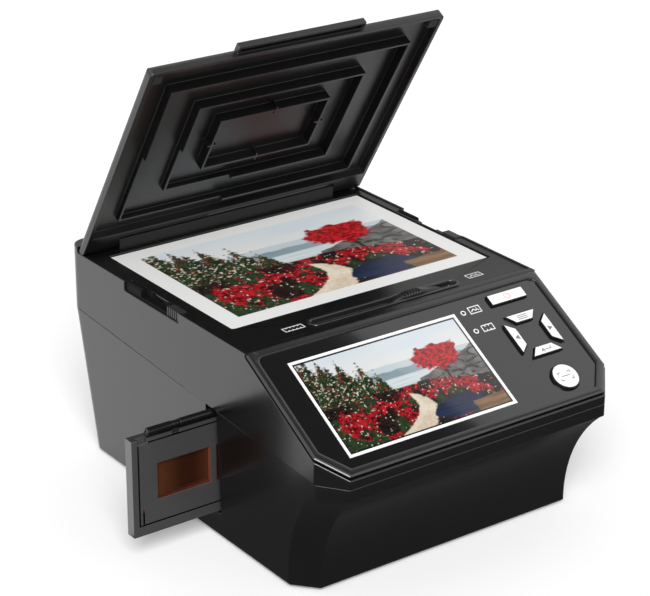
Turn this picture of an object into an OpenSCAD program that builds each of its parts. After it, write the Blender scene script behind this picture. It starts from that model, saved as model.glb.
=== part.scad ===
/* [Body] */
// Width of the body at the seam and above
body_w = 200; // [190:1:230]
// Distance from the origin back to the rear wall
body_back = 125; // [124:1:140]
// Height of the deck rim above the foot plane
deck_z = 125; // [120:1:140]
// Distance from the origin forward to the edge where the deck ends
deck_front = 60; // [60:1:66]
// Wall thickness of both housings
wall = 2.5; // [2:0.1:3]
// Height of the rubber feet below the lower housing
foot_h = 2; // [1.5:0.1:4]
// Diameter of the rubber feet
foot_d = 12; // [8:1:16]
// Corner radius of the rear corners in plan
rear_r = 10; // [6:1:14]
// Front corner chamfer, measured across the body
chamfer_x = 12.6; // [10:0.2:14]
// Front corner chamfer, measured along the body
chamfer_y = 14.4; // [12:0.2:16]
// Height of the housing seam at the rear wall
seam_rear_z = 90; // [88:1:94]
// Drop of the seam per millimetre towards the front
seam_slope = 0.064; // [0.05:0.002:0.07]
// Inset of each side wall at the bottom
side_draft = 3; // [1:0.5:5]
// Inset of the rear wall at the bottom
rear_draft = 14; // [8:1:16]
// Radius of the concave front
front_scoop_r = 81.5; // [78:0.5:90]
// Distance from the origin forward to the foot of the front
front_foot = 108.5; // [106:0.5:112]
// Height where the scoop ends under the front lip
lip_z = 64.5; // [60:0.5:68]

/* [Deck] */
// Width of the thin raised rim at the left and right
rim_w = 1.7; // [1:0.1:2.5]
// Height of the rim above the deck
rim_h = 0.8; // [0.4:0.1:1.5]
// Height of the strip behind the lid above the rim
strip_h = 3.5; // [2:0.5:5]
// Distance from the origin back to the front face of that strip
strip_front = 114.4; // [114.4:0.2:116]
// Length of the finger notches along the body
notch_len = 56.5; // [50:0.5:60]
// Distance from the origin back to the middle of the finger notches
notch_mid = 33.8; // [28:0.2:38]
// Depth of the finger notches into the deck edge
notch_w = 5.6; // [5:0.1:6]
// Height of the finger notches
notch_h = 6; // [5:0.5:8]

/* [Platen] */
// Width of the print
print_w = 178; // [150:1:180]
// Length of the print
print_l = 127; // [100:1:128]
// Thickness of the print
print_t = 0.3; // [0.2:0.05:0.6]
// Middle of the print, to the right of the origin
print_x = 3.2; // [2:0.2:3.4]
// Middle of the print, back from the origin
print_y = 36.7; // [36:0.1:37.4]
// Gap between the print and its recess
print_gap = 0.8; // [0.5:0.1:1]
// Thickness of the platen glass
glass_t = 3; // [2:0.5:4]
// Depth of the print below the deck
platen_drop = 1.2; // [0.8:0.1:2]
// Width of the ledge under the glass
glass_ledge = 4; // [3:0.5:6]

/* [Lid] */
// Angle of the lid at rest, from closed
lid_open = 58; // [0:1:80]
// Thickness of the lid
lid_t = 7; // [6:0.5:8]
// Length of the lid from the hinge axis to its front edge
lid_l = 151.4; // [148:0.2:151.6]
// Distance from the origin back to the hinge axis
hinge_y = 109.9; // [109.5:0.1:110.2]
// Diameter of the hinge pins
pin_d = 3; // [2:0.2:3.6]
// Length of each hinge pin
pin_l = 15; // [12:1:18]
// Length of the hinge bar
hinge_bar_l = 154; // [130:1:160]
// Depth of the lid's inside
lid_cavity = 5.2; // [4:0.1:5.6]
// Wall of the lid's outer rim
lid_rim = 2.5; // [2:0.1:3.5]
// Thickness of the ribs
rib_t = 1.6; // [1.2:0.1:2.4]
// How far the ribs stand out past the rim
rib_proud = 0.9; // [0:0.1:0.95]
// How much lower the ribs are in the rear left quarter
rib_low = 2.6; // [0:0.2:3.5]
// Width of the grip tab at the lid's front edge
tab_w = 86; // [60:1:120]
// How far the grip tab stands out
tab_out = 4.5; // [3:0.5:4.5]

/* [Control panel] */
// Slope of the control panel
panel_angle = 30; // [28:0.5:31]
// Length of the control panel along its slope
panel_l = 88; // [86:0.5:90]
// Thickness of the raised frame round the panel
frame_t = 2.2; // [2:0.1:3]
// Width of the raised frame
frame_w = 3.6; // [3:0.1:4.2]
// Drop of the overlay below the frame
overlay_drop = 1.2; // [0.8:0.1:1.4]
// Width of the display outline
lcd_w = 112.7; // [100:0.5:114]
// Length of the display outline along the slope
lcd_l = 64.7; // [56:0.5:66]
// Middle of the display, left of the origin
lcd_x = 23.8; // [23:0.1:25]
// Middle of the display, down the slope
lcd_s = 44.6; // [44:0.1:46]
// Width of the white line round the display
lcd_line = 1.7; // [1:0.1:2.4]
// How far the buttons stand above the frame's top
button_proud = 0.6; // [0.2:0.1:1.5]
// Travel of the buttons
button_travel = 0.8; // [0.4:0.1:0.8]
// Gap round each button
button_gap = 0.4; // [0.3:0.05:0.5]
// Middle of the button cross, in from the right side
keys_side = 29.5; // [29:0.5:31]
// Width of the power button
power_w = 25.4; // [20:0.2:27]
// Length of the power button
power_l = 7.2; // [6:0.2:8]
// Middle of the power button, down the slope
power_s = 11.5; // [11:0.1:12]
// Middle of the button cross, down the slope
cross_s = 39.3; // [38.5:0.1:40]
// Distance from the cross to the inner edge of its buttons
cross_in = 9; // [8.6:0.1:10]
// Distance from the cross to the outer edge of its buttons
cross_out = 15; // [14.4:0.1:15.4]
// Diameter of the scan button
scan_d = 17; // [14:0.5:18]
// Middle of the scan button, down the slope
scan_s = 71.3; // [71:0.1:72.5]
// Diameter of the ring indicators
ring_d = 3.4; // [2.6:0.2:4]
// Ring indicators, to the right of the origin
ring_x = 38.4; // [37:0.2:39]

/* [Selector] */
// Length of the selector's groove
groove_l = 102; // [90:1:104]
// Width of the groove
groove_w = 8.8; // [8:0.2:9]
// Middle of the groove, to the right of the origin
groove_x = 2; // [0:0.5:4]
// Distance from the origin forward to the groove
groove_y = 46.6; // [46.4:0.1:47]
// Length of the knob
knob_l = 36; // [28:1:38]
// Width of the knob
knob_w = 6.4; // [5:0.2:6.6]
// Height of the knob above the rim
knob_h = 1.9; // [1:0.1:2]
// Travel of the selector
selector_travel = 45; // [40:1:48]
// Number of grip ribs on the knob
knob_ribs = 9; // [5:1:12]

/* [Film holder] */
// Number of frames in the film holder
frames = 4; // [2:1:4]
// Pitch of the frames
frame_pitch = 38; // [36.5:0.5:40]
// Width of a frame window
window_w = 34; // [30:0.5:36]
// Height of a frame window
window_h = 21.6; // [18:0.2:24]
// Length of the holder past the outer windows
holder_end = 15.7; // [12:0.1:20]
// Height of the holder
holder_h = 58.3; // [54:0.1:60]
// Thickness of the holder
holder_t = 6.8; // [6:0.1:7.2]
// Distance from the origin forward to the holder's front face
holder_front = 27.2; // [26.6:0.1:27.4]
// Height of the holder's lower edge
holder_z = 16.4; // [15:0.1:18]
// Left end of the holder from the origin
holder_left = 151.4; // [140:0.2:160]
// Height of the hinge barrel on top of the holder
barrel_d = 5.2; // [4.4:0.1:5.2]
// Clearance round the sliding holder
holder_gap = 0.4; // [0.3:0.05:0.6]

/* [Optics and boards] */
// Diameter of the guide rods
rod_d = 5; // [4:0.5:6]
// Radial clearance of the rods in the carriage bushes
rod_gap = 0.05; // [0.02:0.01:0.1]
// Length of the guide rods
rod_l = 96; // [94:1:104]
// Height of the guide rods
rod_z = 66; // [64:0.5:68]
// Width of the mirror carriage
carriage_w = 32; // [28:1:34]
// Diameter of the lens barrel
lens_d = 14; // [10:0.5:18]
// Thickness of the circuit boards
board_t = 1.6; // [1:0.1:2]
// Diameter of the housing screws
screw_d = 3; // [2.5:0.1:3.5]
// Diameter of the small screws
small_screw_d = 2; // [1.6:0.1:2.4]

/* [Hidden] */

$fn = 64;
eps = 0.01;
big = 400;

// Fits
fit = 0.1;       // clearance round a piece that is set into another
bolt_gap = 0.1;  // diametral clearance of a screw in its hole

// Body
half_w = body_w / 2;
keys_x = half_w - keys_side;
base_z = foot_h;
front_y = -deck_front - panel_l * cos(panel_angle);
front_top_z = deck_z - panel_l * sin(panel_angle);
deck_floor = deck_z - rim_h;
strip_z = deck_z + strip_h;
scoop_z = base_z + 3;
function seam_z(y) = seam_rear_z - (body_back - y) * seam_slope;
seam_angle = atan(seam_slope);

// Lid
hinge_z = deck_z + 0.15 + lid_t / 2;
lid_w = body_w - 0.2;
tab_gap = 2.6;
ear_x = hinge_bar_l / 2 + 0.3;
notch_back = 9;
notch_step = 2;
ring_gap = 4.5;

// Platen
glass_w = print_w + 2 * print_gap - 2 * fit;
glass_l = print_l + 2 * print_gap - 2 * fit;
glass_top = deck_floor - platen_drop;
tape_t = 0.5;
ledge_t = 2;

// Panel
frame_inset = 1;
overlay_t = frame_t - overlay_drop;
opening_inset = frame_inset + frame_w;
plate_t = 2.5;
plate_back = frame_t + plate_t;
flange_t = 1;
flange_w = 1;
mat_top = plate_back + flange_t + button_travel + 0.3;
mat_t = 1.2;
lcd_module_w = lcd_w + 6;
lcd_module_l = lcd_l + 5;
lcd_module_t = 5;
cross_half_out = 10.8;
cross_half_in = 5.8;
keys_board_w = 40;
keys_board_l = 80;
keys_board_s = 43;

// Selector
knob_x = groove_x + selector_travel / 2;
track_wall = 0.8;
track_floor = 1;
track_depth = 3.4;
slot_w = 3.2;
stem_w = 2.6;
stem_l = 10;

// Holder
holder_l = frames * frame_pitch - (frame_pitch - window_w) + 2 * holder_end;
holder_back = -holder_front + holder_t;
holder_top = holder_z + holder_h;
cover_t = 2.7;
cover_edge = 3.9;
film_t = 0.3;
film_h = 35;
window_z = holder_z + holder_h / 2 + 1.4;
barrel_z = holder_top + barrel_d / 2;
barrel_y = -holder_front + barrel_d / 2 - 1.4;
barrel_start = 10;
holder_pin_d = 2;
lug_w = 4;
window_first = -holder_left + holder_end + window_w / 2;
gate_x = window_first + (frames - 1) * frame_pitch;
slot_top = barrel_z + barrel_d / 2 + holder_gap;

// Optics
optic_y = print_y;
rod_y1 = optic_y - 34.7;
rod_y2 = optic_y + 34.3;
chassis_z = 8.5;
chassis_t = 2.5;
chassis_wall = 3;
rod_x = gate_x + (rod_l - 2 * chassis_wall) / 2 - carriage_w / 2 + 0.6 - 2;
mirror_x = gate_x + selector_travel;
mirror_t = 2;
mirror_w = 28;
mirror_l = 36;
light_inset = 0.3;

// The panel's own frame: x across, -y down the slope, z out of it, origin on the deck's front edge
module on_panel() {
    translate([0, -deck_front, deck_z])
        rotate([panel_angle, 0, 0])
            children();
}

// The lid's own frame when closed: origin on the hinge axis, the lid towards -y
module on_lid() {
    translate([0, hinge_y, hinge_z])
        rotate([-lid_open, 0, 0])
            children();
}

module mirrored_x() {
    children();
    mirror([1, 0, 0])
        children();
}

// Everything above the seam plane
module above_seam() {
    translate([0, body_back, seam_rear_z])
        rotate([seam_angle, 0, 0])
            translate([-big / 2, -big, 0])
                cube([big, 2 * big, big]);
}

// Plan of the body, drawn in by inset, with a rear radius and front chamfers
module body_plan(inset = 0, back = body_back) {
    w = half_w - inset;
    r = rear_r - inset;
    f = front_y + inset;
    union() {
        polygon([[-w, back - inset - r], [-w, f + chamfer_y], [-w + chamfer_x, f],
            [w - chamfer_x, f], [w, f + chamfer_y], [w, back - inset - r]]);
        intersection() {
            union() {
                translate([-w + r, back - inset - r])
                    circle(r);
                translate([w - r, back - inset - r])
                    circle(r);
                translate([-w + r, back - inset - 3 * r])
                    square([2 * (w - r), 3 * r]);
            }
            translate([-w, back - inset - r - eps])
                square([2 * w, r + eps]);
        }
    }
}

// Side view of the upper body; drop lowers every top face
module upper_side(drop = 0) {
    n = drop / cos(panel_angle);
    polygon([[body_back, 0], [body_back, strip_z - drop], [strip_front + drop, strip_z - drop],
        [strip_front + drop, deck_z - drop], [-deck_front + drop * tan(panel_angle / 2), deck_z - drop],
        [front_y, front_top_z - n], [front_y, 0]]);
}

module along_x(w) {
    rotate([90, 0, 90])
        translate([0, 0, -w / 2])
            linear_extrude(w)
                children();
}

// Housing boss positions: [x, y]
boss_at = [[half_w - 16, body_back - 28], [-half_w + 16, body_back - 28],
    [half_w - 10, -groove_y - 1.4], [-half_w + 10, -groove_y - 1.4]];
boss_d = 9;
boss_head_d = 6.4;

module film_slot() {
    mirrored_x()
        translate([half_w - 12, -holder_front - barrel_d / 2 - holder_gap, holder_z - holder_gap])
            cube([24, holder_t + barrel_d / 2 + 2 * holder_gap, slot_top - holder_z + holder_gap]);
}

// Pocket in the outer top edge on one side, with a rounded rear end
module notch_pocket(gap = 0) {
    len = notch_len - 2 * gap;
    w = notch_w - gap;
    translate([half_w - w, notch_mid - len / 2, deck_z - notch_h + gap])
        cube([w + 20, len, notch_h + 20]);
}

// ---------------------------------------------------------------- housings

module upper_housing() {
    color("#161616")
        difference() {
            union() {
                difference() {
                    intersection() {
                        linear_extrude(big)
                            body_plan();
                        along_x(body_w + 2)
                            upper_side();
                        above_seam();
                    }
                    intersection() {
                        linear_extrude(big, center = true)
                            body_plan(wall);
                        upper_cavity();
                    }
                    // the deck lies below the rims and the lid's place
                    translate([-half_w + rim_w, -deck_front + 4, deck_floor])
                        cube([body_w - 2 * rim_w, strip_front + deck_front - 4, rim_h + 1]);
                    // ledge round the sloping panel that carries the raised frame
                    on_panel()
                        translate([-half_w - 1, -panel_l - 5, -frame_t])
                            cube([body_w + 2, panel_l + 5 - 0.4, 30]);
                }
                platen_ledge();
                upper_bosses();
                hinge_seat();
                keypad_posts();
                light_ledges();
            }
            platen_cut();
            mirrored_x()
                notch_pocket();
            selector_hole();
            panel_openings();
            upper_pilots();
            hinge_bar_pilots();
            keypad_pilots();
            film_slot();
        }
}

// The hollow inside the upper housing
module upper_cavity() {
    along_x(body_w)
        difference() {
            translate([front_y, 0])
                square([body_back - front_y, deck_floor - wall]);
            translate([-deck_front, deck_z])
                rotate(panel_angle)
                    translate([-panel_l - 40, -plate_back])
                        square([panel_l + 60, 60]);
        }
}

module platen_ledge() {
    w = glass_w + 2 * wall;
    l = glass_l + 2 * wall;
    z = glass_top - glass_t - tape_t - ledge_t;
    intersection() {
        translate([print_x - w / 2, print_y - l / 2, z])
            cube([w, l, deck_floor - z]);
        linear_extrude(big)
            body_plan(wall / 2);
    }
}

module platen_cut() {
    translate([print_x - glass_w / 2 - fit, print_y - glass_l / 2 - fit, glass_top - glass_t - tape_t])
        cube([glass_w + 2 * fit, glass_l + 2 * fit, glass_t + tape_t + 20]);
    translate([print_x - glass_w / 2 + glass_ledge, print_y - glass_l / 2 + glass_ledge, deck_z - 30])
        cube([glass_w - 2 * glass_ledge, glass_l - 2 * glass_ledge, 40]);
}

module upper_bosses() {
    intersection() {
        for (p = boss_at)
            translate([p[0], p[1], 0])
                cylinder(h = deck_floor - wall / 2, d = boss_d);
        along_x(body_w)
            upper_side(wall + 1.5);
        above_seam();
    }
}

module upper_pilots() {
    for (p = boss_at)
        translate([p[0], p[1], seam_z(p[1]) - 5])
            cylinder(h = 5 + 10, d = screw_d + bolt_gap);
}

// Thick pad under the hinge bar
module hinge_seat() {
    translate([-hinge_bar_l / 2, hinge_y - 5, deck_floor - 6])
        cube([hinge_bar_l, 9, 6]);
}

hinge_screw_x = [-60, 0, 60];

module hinge_bar_pilots() {
    for (x = hinge_screw_x)
        translate([x, hinge_y - 0.6, deck_floor - 8])
            cylinder(h = 12, d = screw_d + bolt_gap);
}

module hinge_screws() {
    color("#8c8f93")
        for (x = hinge_screw_x)
            translate([x, hinge_y - 0.6, deck_floor - 6]) {
                cylinder(h = 10, d = screw_d);
                translate([0, 0, -2.2])
                    cylinder(h = 2.2, d = 5.6);
            }
}

// Posts behind the panel plate that carry the keypad board
keys_post_at = [[-keys_board_w / 2 + 3, 4], [keys_board_w / 2 - 3, 4],
    [-keys_board_w / 2 + 3, keys_board_l - 4], [keys_board_w / 2 - 3, keys_board_l - 4]];
keys_top_s = keys_board_s - keys_board_l / 2;
board_top = mat_top + mat_t;

module keypad_posts() {
    on_panel()
        for (p = keys_post_at)
            translate([keys_x + p[0], -keys_top_s - p[1], -board_top])
                cylinder(h = board_top - plate_back + 0.2, d = 5);
}

module keypad_pilots() {
    on_panel()
        for (p = keys_post_at)
            translate([keys_x + p[0], -keys_top_s - p[1], -board_top - 1])
                cylinder(h = 5, d = small_screw_d + bolt_gap);
}

// Short ledges on the side walls that carry the photo lights
light_y = print_y;
light_l = 100;
light_z = glass_top - glass_t - tape_t - 18;

module light_ledges() {
    mirrored_x()
        translate([half_w - wall - 4, light_y - light_l / 2, light_z - 1.5])
            cube([4.2, light_l, 1.5]);
}

module lower_housing() {
    color("#1c1c1c")
        difference() {
            union() {
                difference() {
                    lower_body(0);
                    lower_body(wall);
                }
                difference() {
                    intersection() {
                        lower_body(wall / 2);
                        lower_bosses();
                    }
                    above_seam();
                }
            }
            lower_bores();
            foot_recesses();
            film_slot();
            socket_holes();
            standoff_pilots();
        }
}

// Outer form of the lower body, drawn in by inset
rear_edge_r = 7;
draft_h = seam_rear_z - base_z;

module lower_body(inset) {
    difference() {
        intersection() {
            lower_side(inset);
            translate([0, big / 2, 0])
                rotate([90, 0, 0])
                    linear_extrude(big)
                        lower_front(half_w - inset);
        }
        if (inset == 0)
            above_seam();
        front_scoop(inset);
        mirrored_x()
            corner_cut(inset);
        mirrored_x()
            rear_corner_cut(inset);
    }
}

// Front view: side walls lean in towards the bottom
module lower_front(w) {
    lean = side_draft / draft_h;
    polygon([[-w + side_draft, base_z], [w - side_draft, base_z], [w + 8 * lean, seam_rear_z + 8],
        [-w - 8 * lean, seam_rear_z + 8]]);
}

// Side view: floor, leaning rear wall and the round lower rear edge
module lower_side(inset) {
    r = rear_edge_r - inset / 2;
    a = atan(rear_draft / draft_h);
    floor_z = base_z + inset;
    yc = body_back - rear_draft - inset + (r + inset) * tan(a) - r / cos(a);
    along_x(body_w + 2)
        union() {
            polygon([[front_y + inset, floor_z], [yc, floor_z], [yc, floor_z + r],
                [yc + r * cos(a), floor_z + r - r * sin(a)],
                [body_back - inset + 8 * tan(a), seam_rear_z + 8], [front_y + inset, seam_rear_z + 8]]);
            translate([yc, floor_z + r])
                circle(r);
        }
}

// Rounds one rear corner along the line where the two leaning walls meet
module rear_corner_cut(inset) {
    r = rear_r - inset;
    len = sqrt(pow(side_draft, 2) + pow(rear_draft, 2) + pow(draft_h, 2));
    tilt = asin(rear_draft / len);
    lean = atan(side_draft / draft_h);
    k = sin(tilt) * sin(lean);
    translate([half_w - side_draft - inset, body_back - rear_draft - inset, base_z])
        rotate([-tilt, lean, 0])
            translate([0, 0, -20])
                linear_extrude(len + 40)
                    difference() {
                        translate([-r, -r * (1 - k)])
                            square([r + 12, r + 12]);
                        translate([-r, -r * (1 - k)])
                            circle(r);
                    }
}

// The concave front: a long cylinder lying in front of the body
module front_scoop(inset) {
    translate([0, -front_foot - front_scoop_r, scoop_z])
        rotate([0, 90, 0])
            cylinder(h = body_w + 20, r = front_scoop_r + inset, center = true, $fn = 180);
    translate([-half_w - 10, -front_foot - 60 + inset, -1])
        cube([body_w + 20, 60, scoop_z + 1]);
}

// Corner chamfer that follows the concave front: the same curve, carried along the chamfer's direction
corner_angle = atan(chamfer_y / chamfer_x);
corner_steps = 14;
function scoop_y(z) = z < scoop_z ? -front_foot
    : -front_foot - front_scoop_r + sqrt(pow(front_scoop_r, 2) - pow(z - scoop_z, 2));

module corner_cut(inset) {
    top = lip_z + 0.5;
    rise = (top - base_z + 1) / corner_steps;
    x0 = half_w - side_draft * 0.6 - inset;
    squeeze = cos(corner_angle);
    lip_cut = (front_y + chamfer_y + inset) * squeeze - side_draft * 0.6 * sin(corner_angle);
    curve = [for (i = [0 : corner_steps]) let (z = base_z - 1 + i * rise)
        [(scoop_y(z) + chamfer_y + inset) * squeeze, z]];
    shape = concat([[-big, base_z - 1]], curve,
        [[lip_cut, top], [lip_cut, big], [-big, big]]);
    translate([x0, 0, 0])
        rotate([90, 0, 90 + corner_angle])
            translate([0, 0, -big / 2])
                linear_extrude(big)
                    polygon(shape);
}

module lower_bosses() {
    for (p = boss_at)
        translate([p[0], p[1], base_z])
            cylinder(h = seam_z(p[1]) - base_z + 2, d = boss_d);
    for (p = chassis_post_at)
        translate([p[0], p[1], base_z])
            cylinder(h = chassis_z - base_z, d = 7);
    for (p = board_post_at)
        translate([p[0], board_y, p[1]])
            rotate([-90, 0, 0])
                cylinder(h = 30, d = 6);
}

module lower_bores() {
    for (p = boss_at)
        translate([p[0], p[1], base_z - 1]) {
            cylinder(h = seam_z(p[1]) - 7 - base_z + 1, d = boss_head_d);
            cylinder(h = seam_z(p[1]) + 2 - base_z, d = screw_d + bolt_gap);
        }
}

module foot_at() {
    for (x = [-1, 1])
        for (y = [body_back - rear_draft - 31, -front_foot + 30])
            translate([x * (half_w - side_draft - 14), y, 0])
                children();
}

foot_seat = 0.6;

module foot_recesses() {
    foot_at()
        translate([0, 0, base_z - 1])
            cylinder(h = 1 + foot_seat, d = foot_d + 2 * fit);
}

module rubber_feet() {
    color("#2b2b2b")
        foot_at()
            cylinder(h = foot_h + foot_seat, d = foot_d);
}

module housing_screws() {
    color("#8c8f93")
        for (p = boss_at)
            translate([p[0], p[1], seam_z(p[1]) - 7]) {
                cylinder(h = 14, d = screw_d);
                translate([0, 0, -2.2])
                    cylinder(h = 2.2, d = 5.6);
            }
}

// ---------------------------------------------------------------- hinge and lid

bar_front = 5.4;
bar_back = 3.4;

module hinge_bar() {
    color("#242424")
        difference() {
            translate([0, hinge_y, hinge_z])
                union() {
                    along_x(hinge_bar_l)
                        polygon([[-bar_front, deck_floor - hinge_z], [-bar_front, lid_t / 2 - 1],
                            [-bar_front + 1, lid_t / 2], [1, lid_t / 2],
                            [bar_back, 1.4], [bar_back, deck_floor - hinge_z]]);
                }
            mirrored_x()
                translate([hinge_bar_l / 2 - pin_l / 2 - 1, hinge_y, hinge_z])
                    rotate([0, 90, 0])
                        cylinder(h = pin_l, d = pin_d + bolt_gap);
            for (x = hinge_screw_x)
                translate([x, hinge_y - 0.6, deck_floor - 1])
                    cylinder(h = 6, d = screw_d + bolt_gap);
        }
}

module hinge_pins() {
    color("#9a9da1")
        on_lid()
            mirrored_x()
                translate([hinge_bar_l / 2 - pin_l / 2, 0, 0])
                    rotate([0, 90, 0])
                        cylinder(h = pin_l, d = pin_d);
}

// Plan of the lid with rounded front corners
module lid_plan(inset = 0) {
    w = lid_w / 2 - inset;
    r = 3.2 - inset / 2;
    union() {
        translate([-w, -lid_l + inset + r])
            square([2 * w, lid_l - inset - r + lid_t]);
        translate([-w + r, -lid_l + inset])
            square([2 * (w - r), lid_l / 2]);
        for (s = [-1, 1])
            translate([s * (w - r), -lid_l + inset + r])
                circle(r);
    }
}

lid_edge_r = 4;

// Slab of the lid: full round at the hinge, soft outer edges
module lid_slab() {
    h = lid_t / 2;
    r = lid_edge_r;
    intersection() {
        translate([0, 0, -h])
            linear_extrude(lid_t)
                lid_plan();
        along_x(lid_w)
            union() {
                circle(h);
                translate([-lid_l, -h])
                    square([lid_l, lid_t - r]);
                translate([-lid_l + r, -h])
                    square([lid_l - r, lid_t]);
                translate([-lid_l + r, h - r])
                    circle(r);
            }
        rotate([90, 0, 0])
            translate([0, 0, -lid_t])
                linear_extrude(lid_l + 2 * lid_t)
                    union() {
                        translate([-lid_w / 2, -h])
                            square([lid_w, lid_t - r]);
                        translate([-lid_w / 2 + r, -h])
                            square([lid_w - 2 * r, lid_t]);
                        for (s = [-1, 1])
                            translate([s * (lid_w / 2 - r), h - r])
                                circle(r);
                    }
    }
}

// One rectangular ring of ribs; half sizes to the outside of the ribs
module rib_ring(half_x, half_y, z0, z1) {
    translate([0, rib_mid_y, z0])
        difference() {
            translate([-half_x, -half_y, 0])
                cube([2 * half_x, 2 * half_y, z1 - z0]);
            translate([-half_x + rib_t, -half_y + rib_t, -1])
                cube([2 * (half_x - rib_t), 2 * (half_y - rib_t), z1 - z0 + 2]);
        }
}

rings = [[82, 56.2], [57.4, 36.8], [38.2, 20.8]];
rib_mid_y = -77.3;
low_x = -12;
gusset_w = 3;

module lid_ribs() {
    tip = -lid_t / 2 - rib_proud;
    root = -lid_t / 2 + lid_cavity;
    difference() {
        for (r = rings)
            rib_ring(r[0], r[1], tip, root + eps);
        // the ribs of the two outer rings stand lower in the rear left quarter
        difference() {
            translate([-lid_w, rib_mid_y, tip - 1])
                cube([lid_w + low_x, lid_l, rib_low + 1]);
            translate([-rings[2][0] - 1, rib_mid_y - rings[2][1] - 1, tip - 2])
                cube([2 * rings[2][0] + 2, 2 * rings[2][1] + 2, lid_t]);
        }
    }
    r = rings[2];
    for (s = [-1, 1]) {
        translate([-0.6, rib_mid_y + s * (r[1] - rib_t / 2) - gusset_w, tip])
            cube([1.2, 2 * gusset_w, root + eps - tip]);
        translate([s * (r[0] - rib_t / 2) - gusset_w, rib_mid_y - 0.6, tip])
            cube([2 * gusset_w, 1.2, root + eps - tip]);
    }
}

// Hollow of the lid; its rear wall stands in front of the hinge bar
module lid_hollow() {
    rear = notch_back - 2 + notch_step + lid_rim;
    translate([0, 0, -lid_t / 2 - 1])
        linear_extrude(lid_cavity + 1)
            intersection() {
                lid_plan(lid_rim);
                translate([-lid_w, -2 * lid_l])
                    square([2 * lid_w, 2 * lid_l - rear]);
            }
}

module lid_tab(inset = 0) {
    h = 4;
    translate([-tab_w / 2 + inset, -lid_l - tab_out + inset, lid_t / 2 - 0.6 - h])
        cube([tab_w - 2 * inset, tab_out + 4 - inset, h]);
}

module lid() {
    color("#2a2a2a")
        on_lid()
            difference() {
                union() {
                    difference() {
                        lid_slab();
                        lid_hollow();
                    }
                    lid_ribs();
                    lid_tab();
                }
                // finger scoop under the tab
                translate([0, 0, -1.6])
                    intersection() {
                        lid_tab(1.4);
                        translate([-lid_w, -lid_l - 20, -10])
                            cube([2 * lid_w, 20 - 0.2, 20]);
                    }
                // room for the hinge bar, a little deeper over its right part
                translate([-ear_x, -notch_back + 2, -lid_t])
                    cube([2 * ear_x, 40, 2 * lid_t]);
                translate([-17, -notch_back + 2 - notch_step, -lid_t])
                    cube([ear_x + 17, 40, 2 * lid_t]);
                mirrored_x()
                    translate([ear_x - 1, 0, 0])
                        rotate([0, 90, 0])
                            cylinder(h = pin_l / 2 + 1, d = pin_d);
            }
}

bumper = 6;
bumper_gap = 0.7;

module lid_bumpers() {
    color("#3a3a3a")
        on_lid()
            mirrored_x()
                translate([lid_w / 2 - lid_rim - bumper_gap - bumper, -lid_l + lid_rim + bumper_gap, -lid_t / 2 + 0.2])
                    cube([bumper, bumper, lid_cavity - 0.2]);
}

// ---------------------------------------------------------------- platen

module platen_glass() {
    color("#9fb0b5", 0.5)
        translate([print_x - glass_w / 2, print_y - glass_l / 2, glass_top - glass_t])
            cube([glass_w, glass_l, glass_t]);
}

module glass_tape() {
    color("#0c0c0c")
        translate([print_x, print_y, glass_top - glass_t - tape_t])
            difference() {
                translate([-glass_w / 2, -glass_l / 2, 0])
                    cube([glass_w, glass_l, tape_t]);
                translate([-glass_w / 2 + glass_ledge, -glass_l / 2 + glass_ledge, -1])
                    cube([glass_w - 2 * glass_ledge, glass_l - 2 * glass_ledge, 3]);
            }
}

module sample_print() {
    color("#ececec")
        translate([print_x - print_w / 2, print_y - print_l / 2, glass_top])
            cube([print_w, print_l, print_t]);
}

// Grips in the finger notches: round rear block, hollow for the fingertip, ridged front tab
grip_len = notch_len - 2 * fit;
grip_w = notch_w - 1.2;
ridge_count = 5;

module notch_grip() {
    front = notch_mid - grip_len / 2;
    back = notch_mid + grip_len / 2;
    z0 = deck_z - notch_h;
    x0 = half_w - notch_w;
    tab = 12;
    block = 16;
    difference() {
        union() {
            translate([x0, front, z0])
                cube([grip_w, grip_len, 1.5]);
            translate([x0, front, z0])
                cube([notch_w - 0.6, tab, notch_h - 0.2]);
            translate([x0, back - block, z0])
                cube([grip_w, block, notch_h - 0.2 - grip_w / 2]);
            translate([x0 + grip_w / 2, back - block, deck_z - 0.2 - grip_w / 2])
                rotate([-90, 0, 0])
                    cylinder(h = block, d = grip_w);
            translate([x0, front + tab, z0])
                cube([1.2, grip_len - tab - block, notch_h - 1]);
        }
        translate([x0 - 1, (front + tab + back - block) / 2, deck_z + 9])
            rotate([0, 90, 0])
                cylinder(h = 20, r = 12.6);
        for (i = [0 : ridge_count - 1])
            translate([x0 + notch_w - 1.2, front + 2 + i * 2, z0 + 1])
                cube([2, 0.9, notch_h]);
    }
}

module notch_grips() {
    color("#4a4a4a")
        mirrored_x()
            notch_grip();
}

// ---------------------------------------------------------------- selector

module obround(l, w) {
    union() {
        translate([-(l - w) / 2, -w / 2])
            square([l - w, w]);
        for (s = [-1, 1])
            translate([s * (l - w) / 2, 0])
                circle(w / 2);
    }
}

module selector_hole() {
    translate([groove_x, -groove_y, deck_z - 12])
        linear_extrude(20)
            obround(groove_l - 1, groove_w - 1);
}

// The track liner: a long oval tray with a thin lip on the deck and a slot for the stem
module selector_track() {
    color("#202020")
        translate([groove_x, -groove_y, 0])
            difference() {
                union() {
                    translate([0, 0, deck_floor])
                        linear_extrude(deck_z - deck_floor)
                            obround(groove_l + 1.6, groove_w + 1.6);
                    translate([0, 0, deck_z - track_depth - track_floor])
                        linear_extrude(track_depth + track_floor)
                            obround(groove_l - 1 - 2 * fit, groove_w - 1 - 2 * fit);
                }
                translate([0, 0, deck_z - track_depth])
                    linear_extrude(10)
                        obround(groove_l - 1 - 2 * track_wall, groove_w - 1 - 2 * track_wall);
                translate([0, 0, deck_z - 20])
                    linear_extrude(30)
                        obround(selector_travel + stem_l + 2 + slot_w, slot_w);
            }
}

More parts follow.
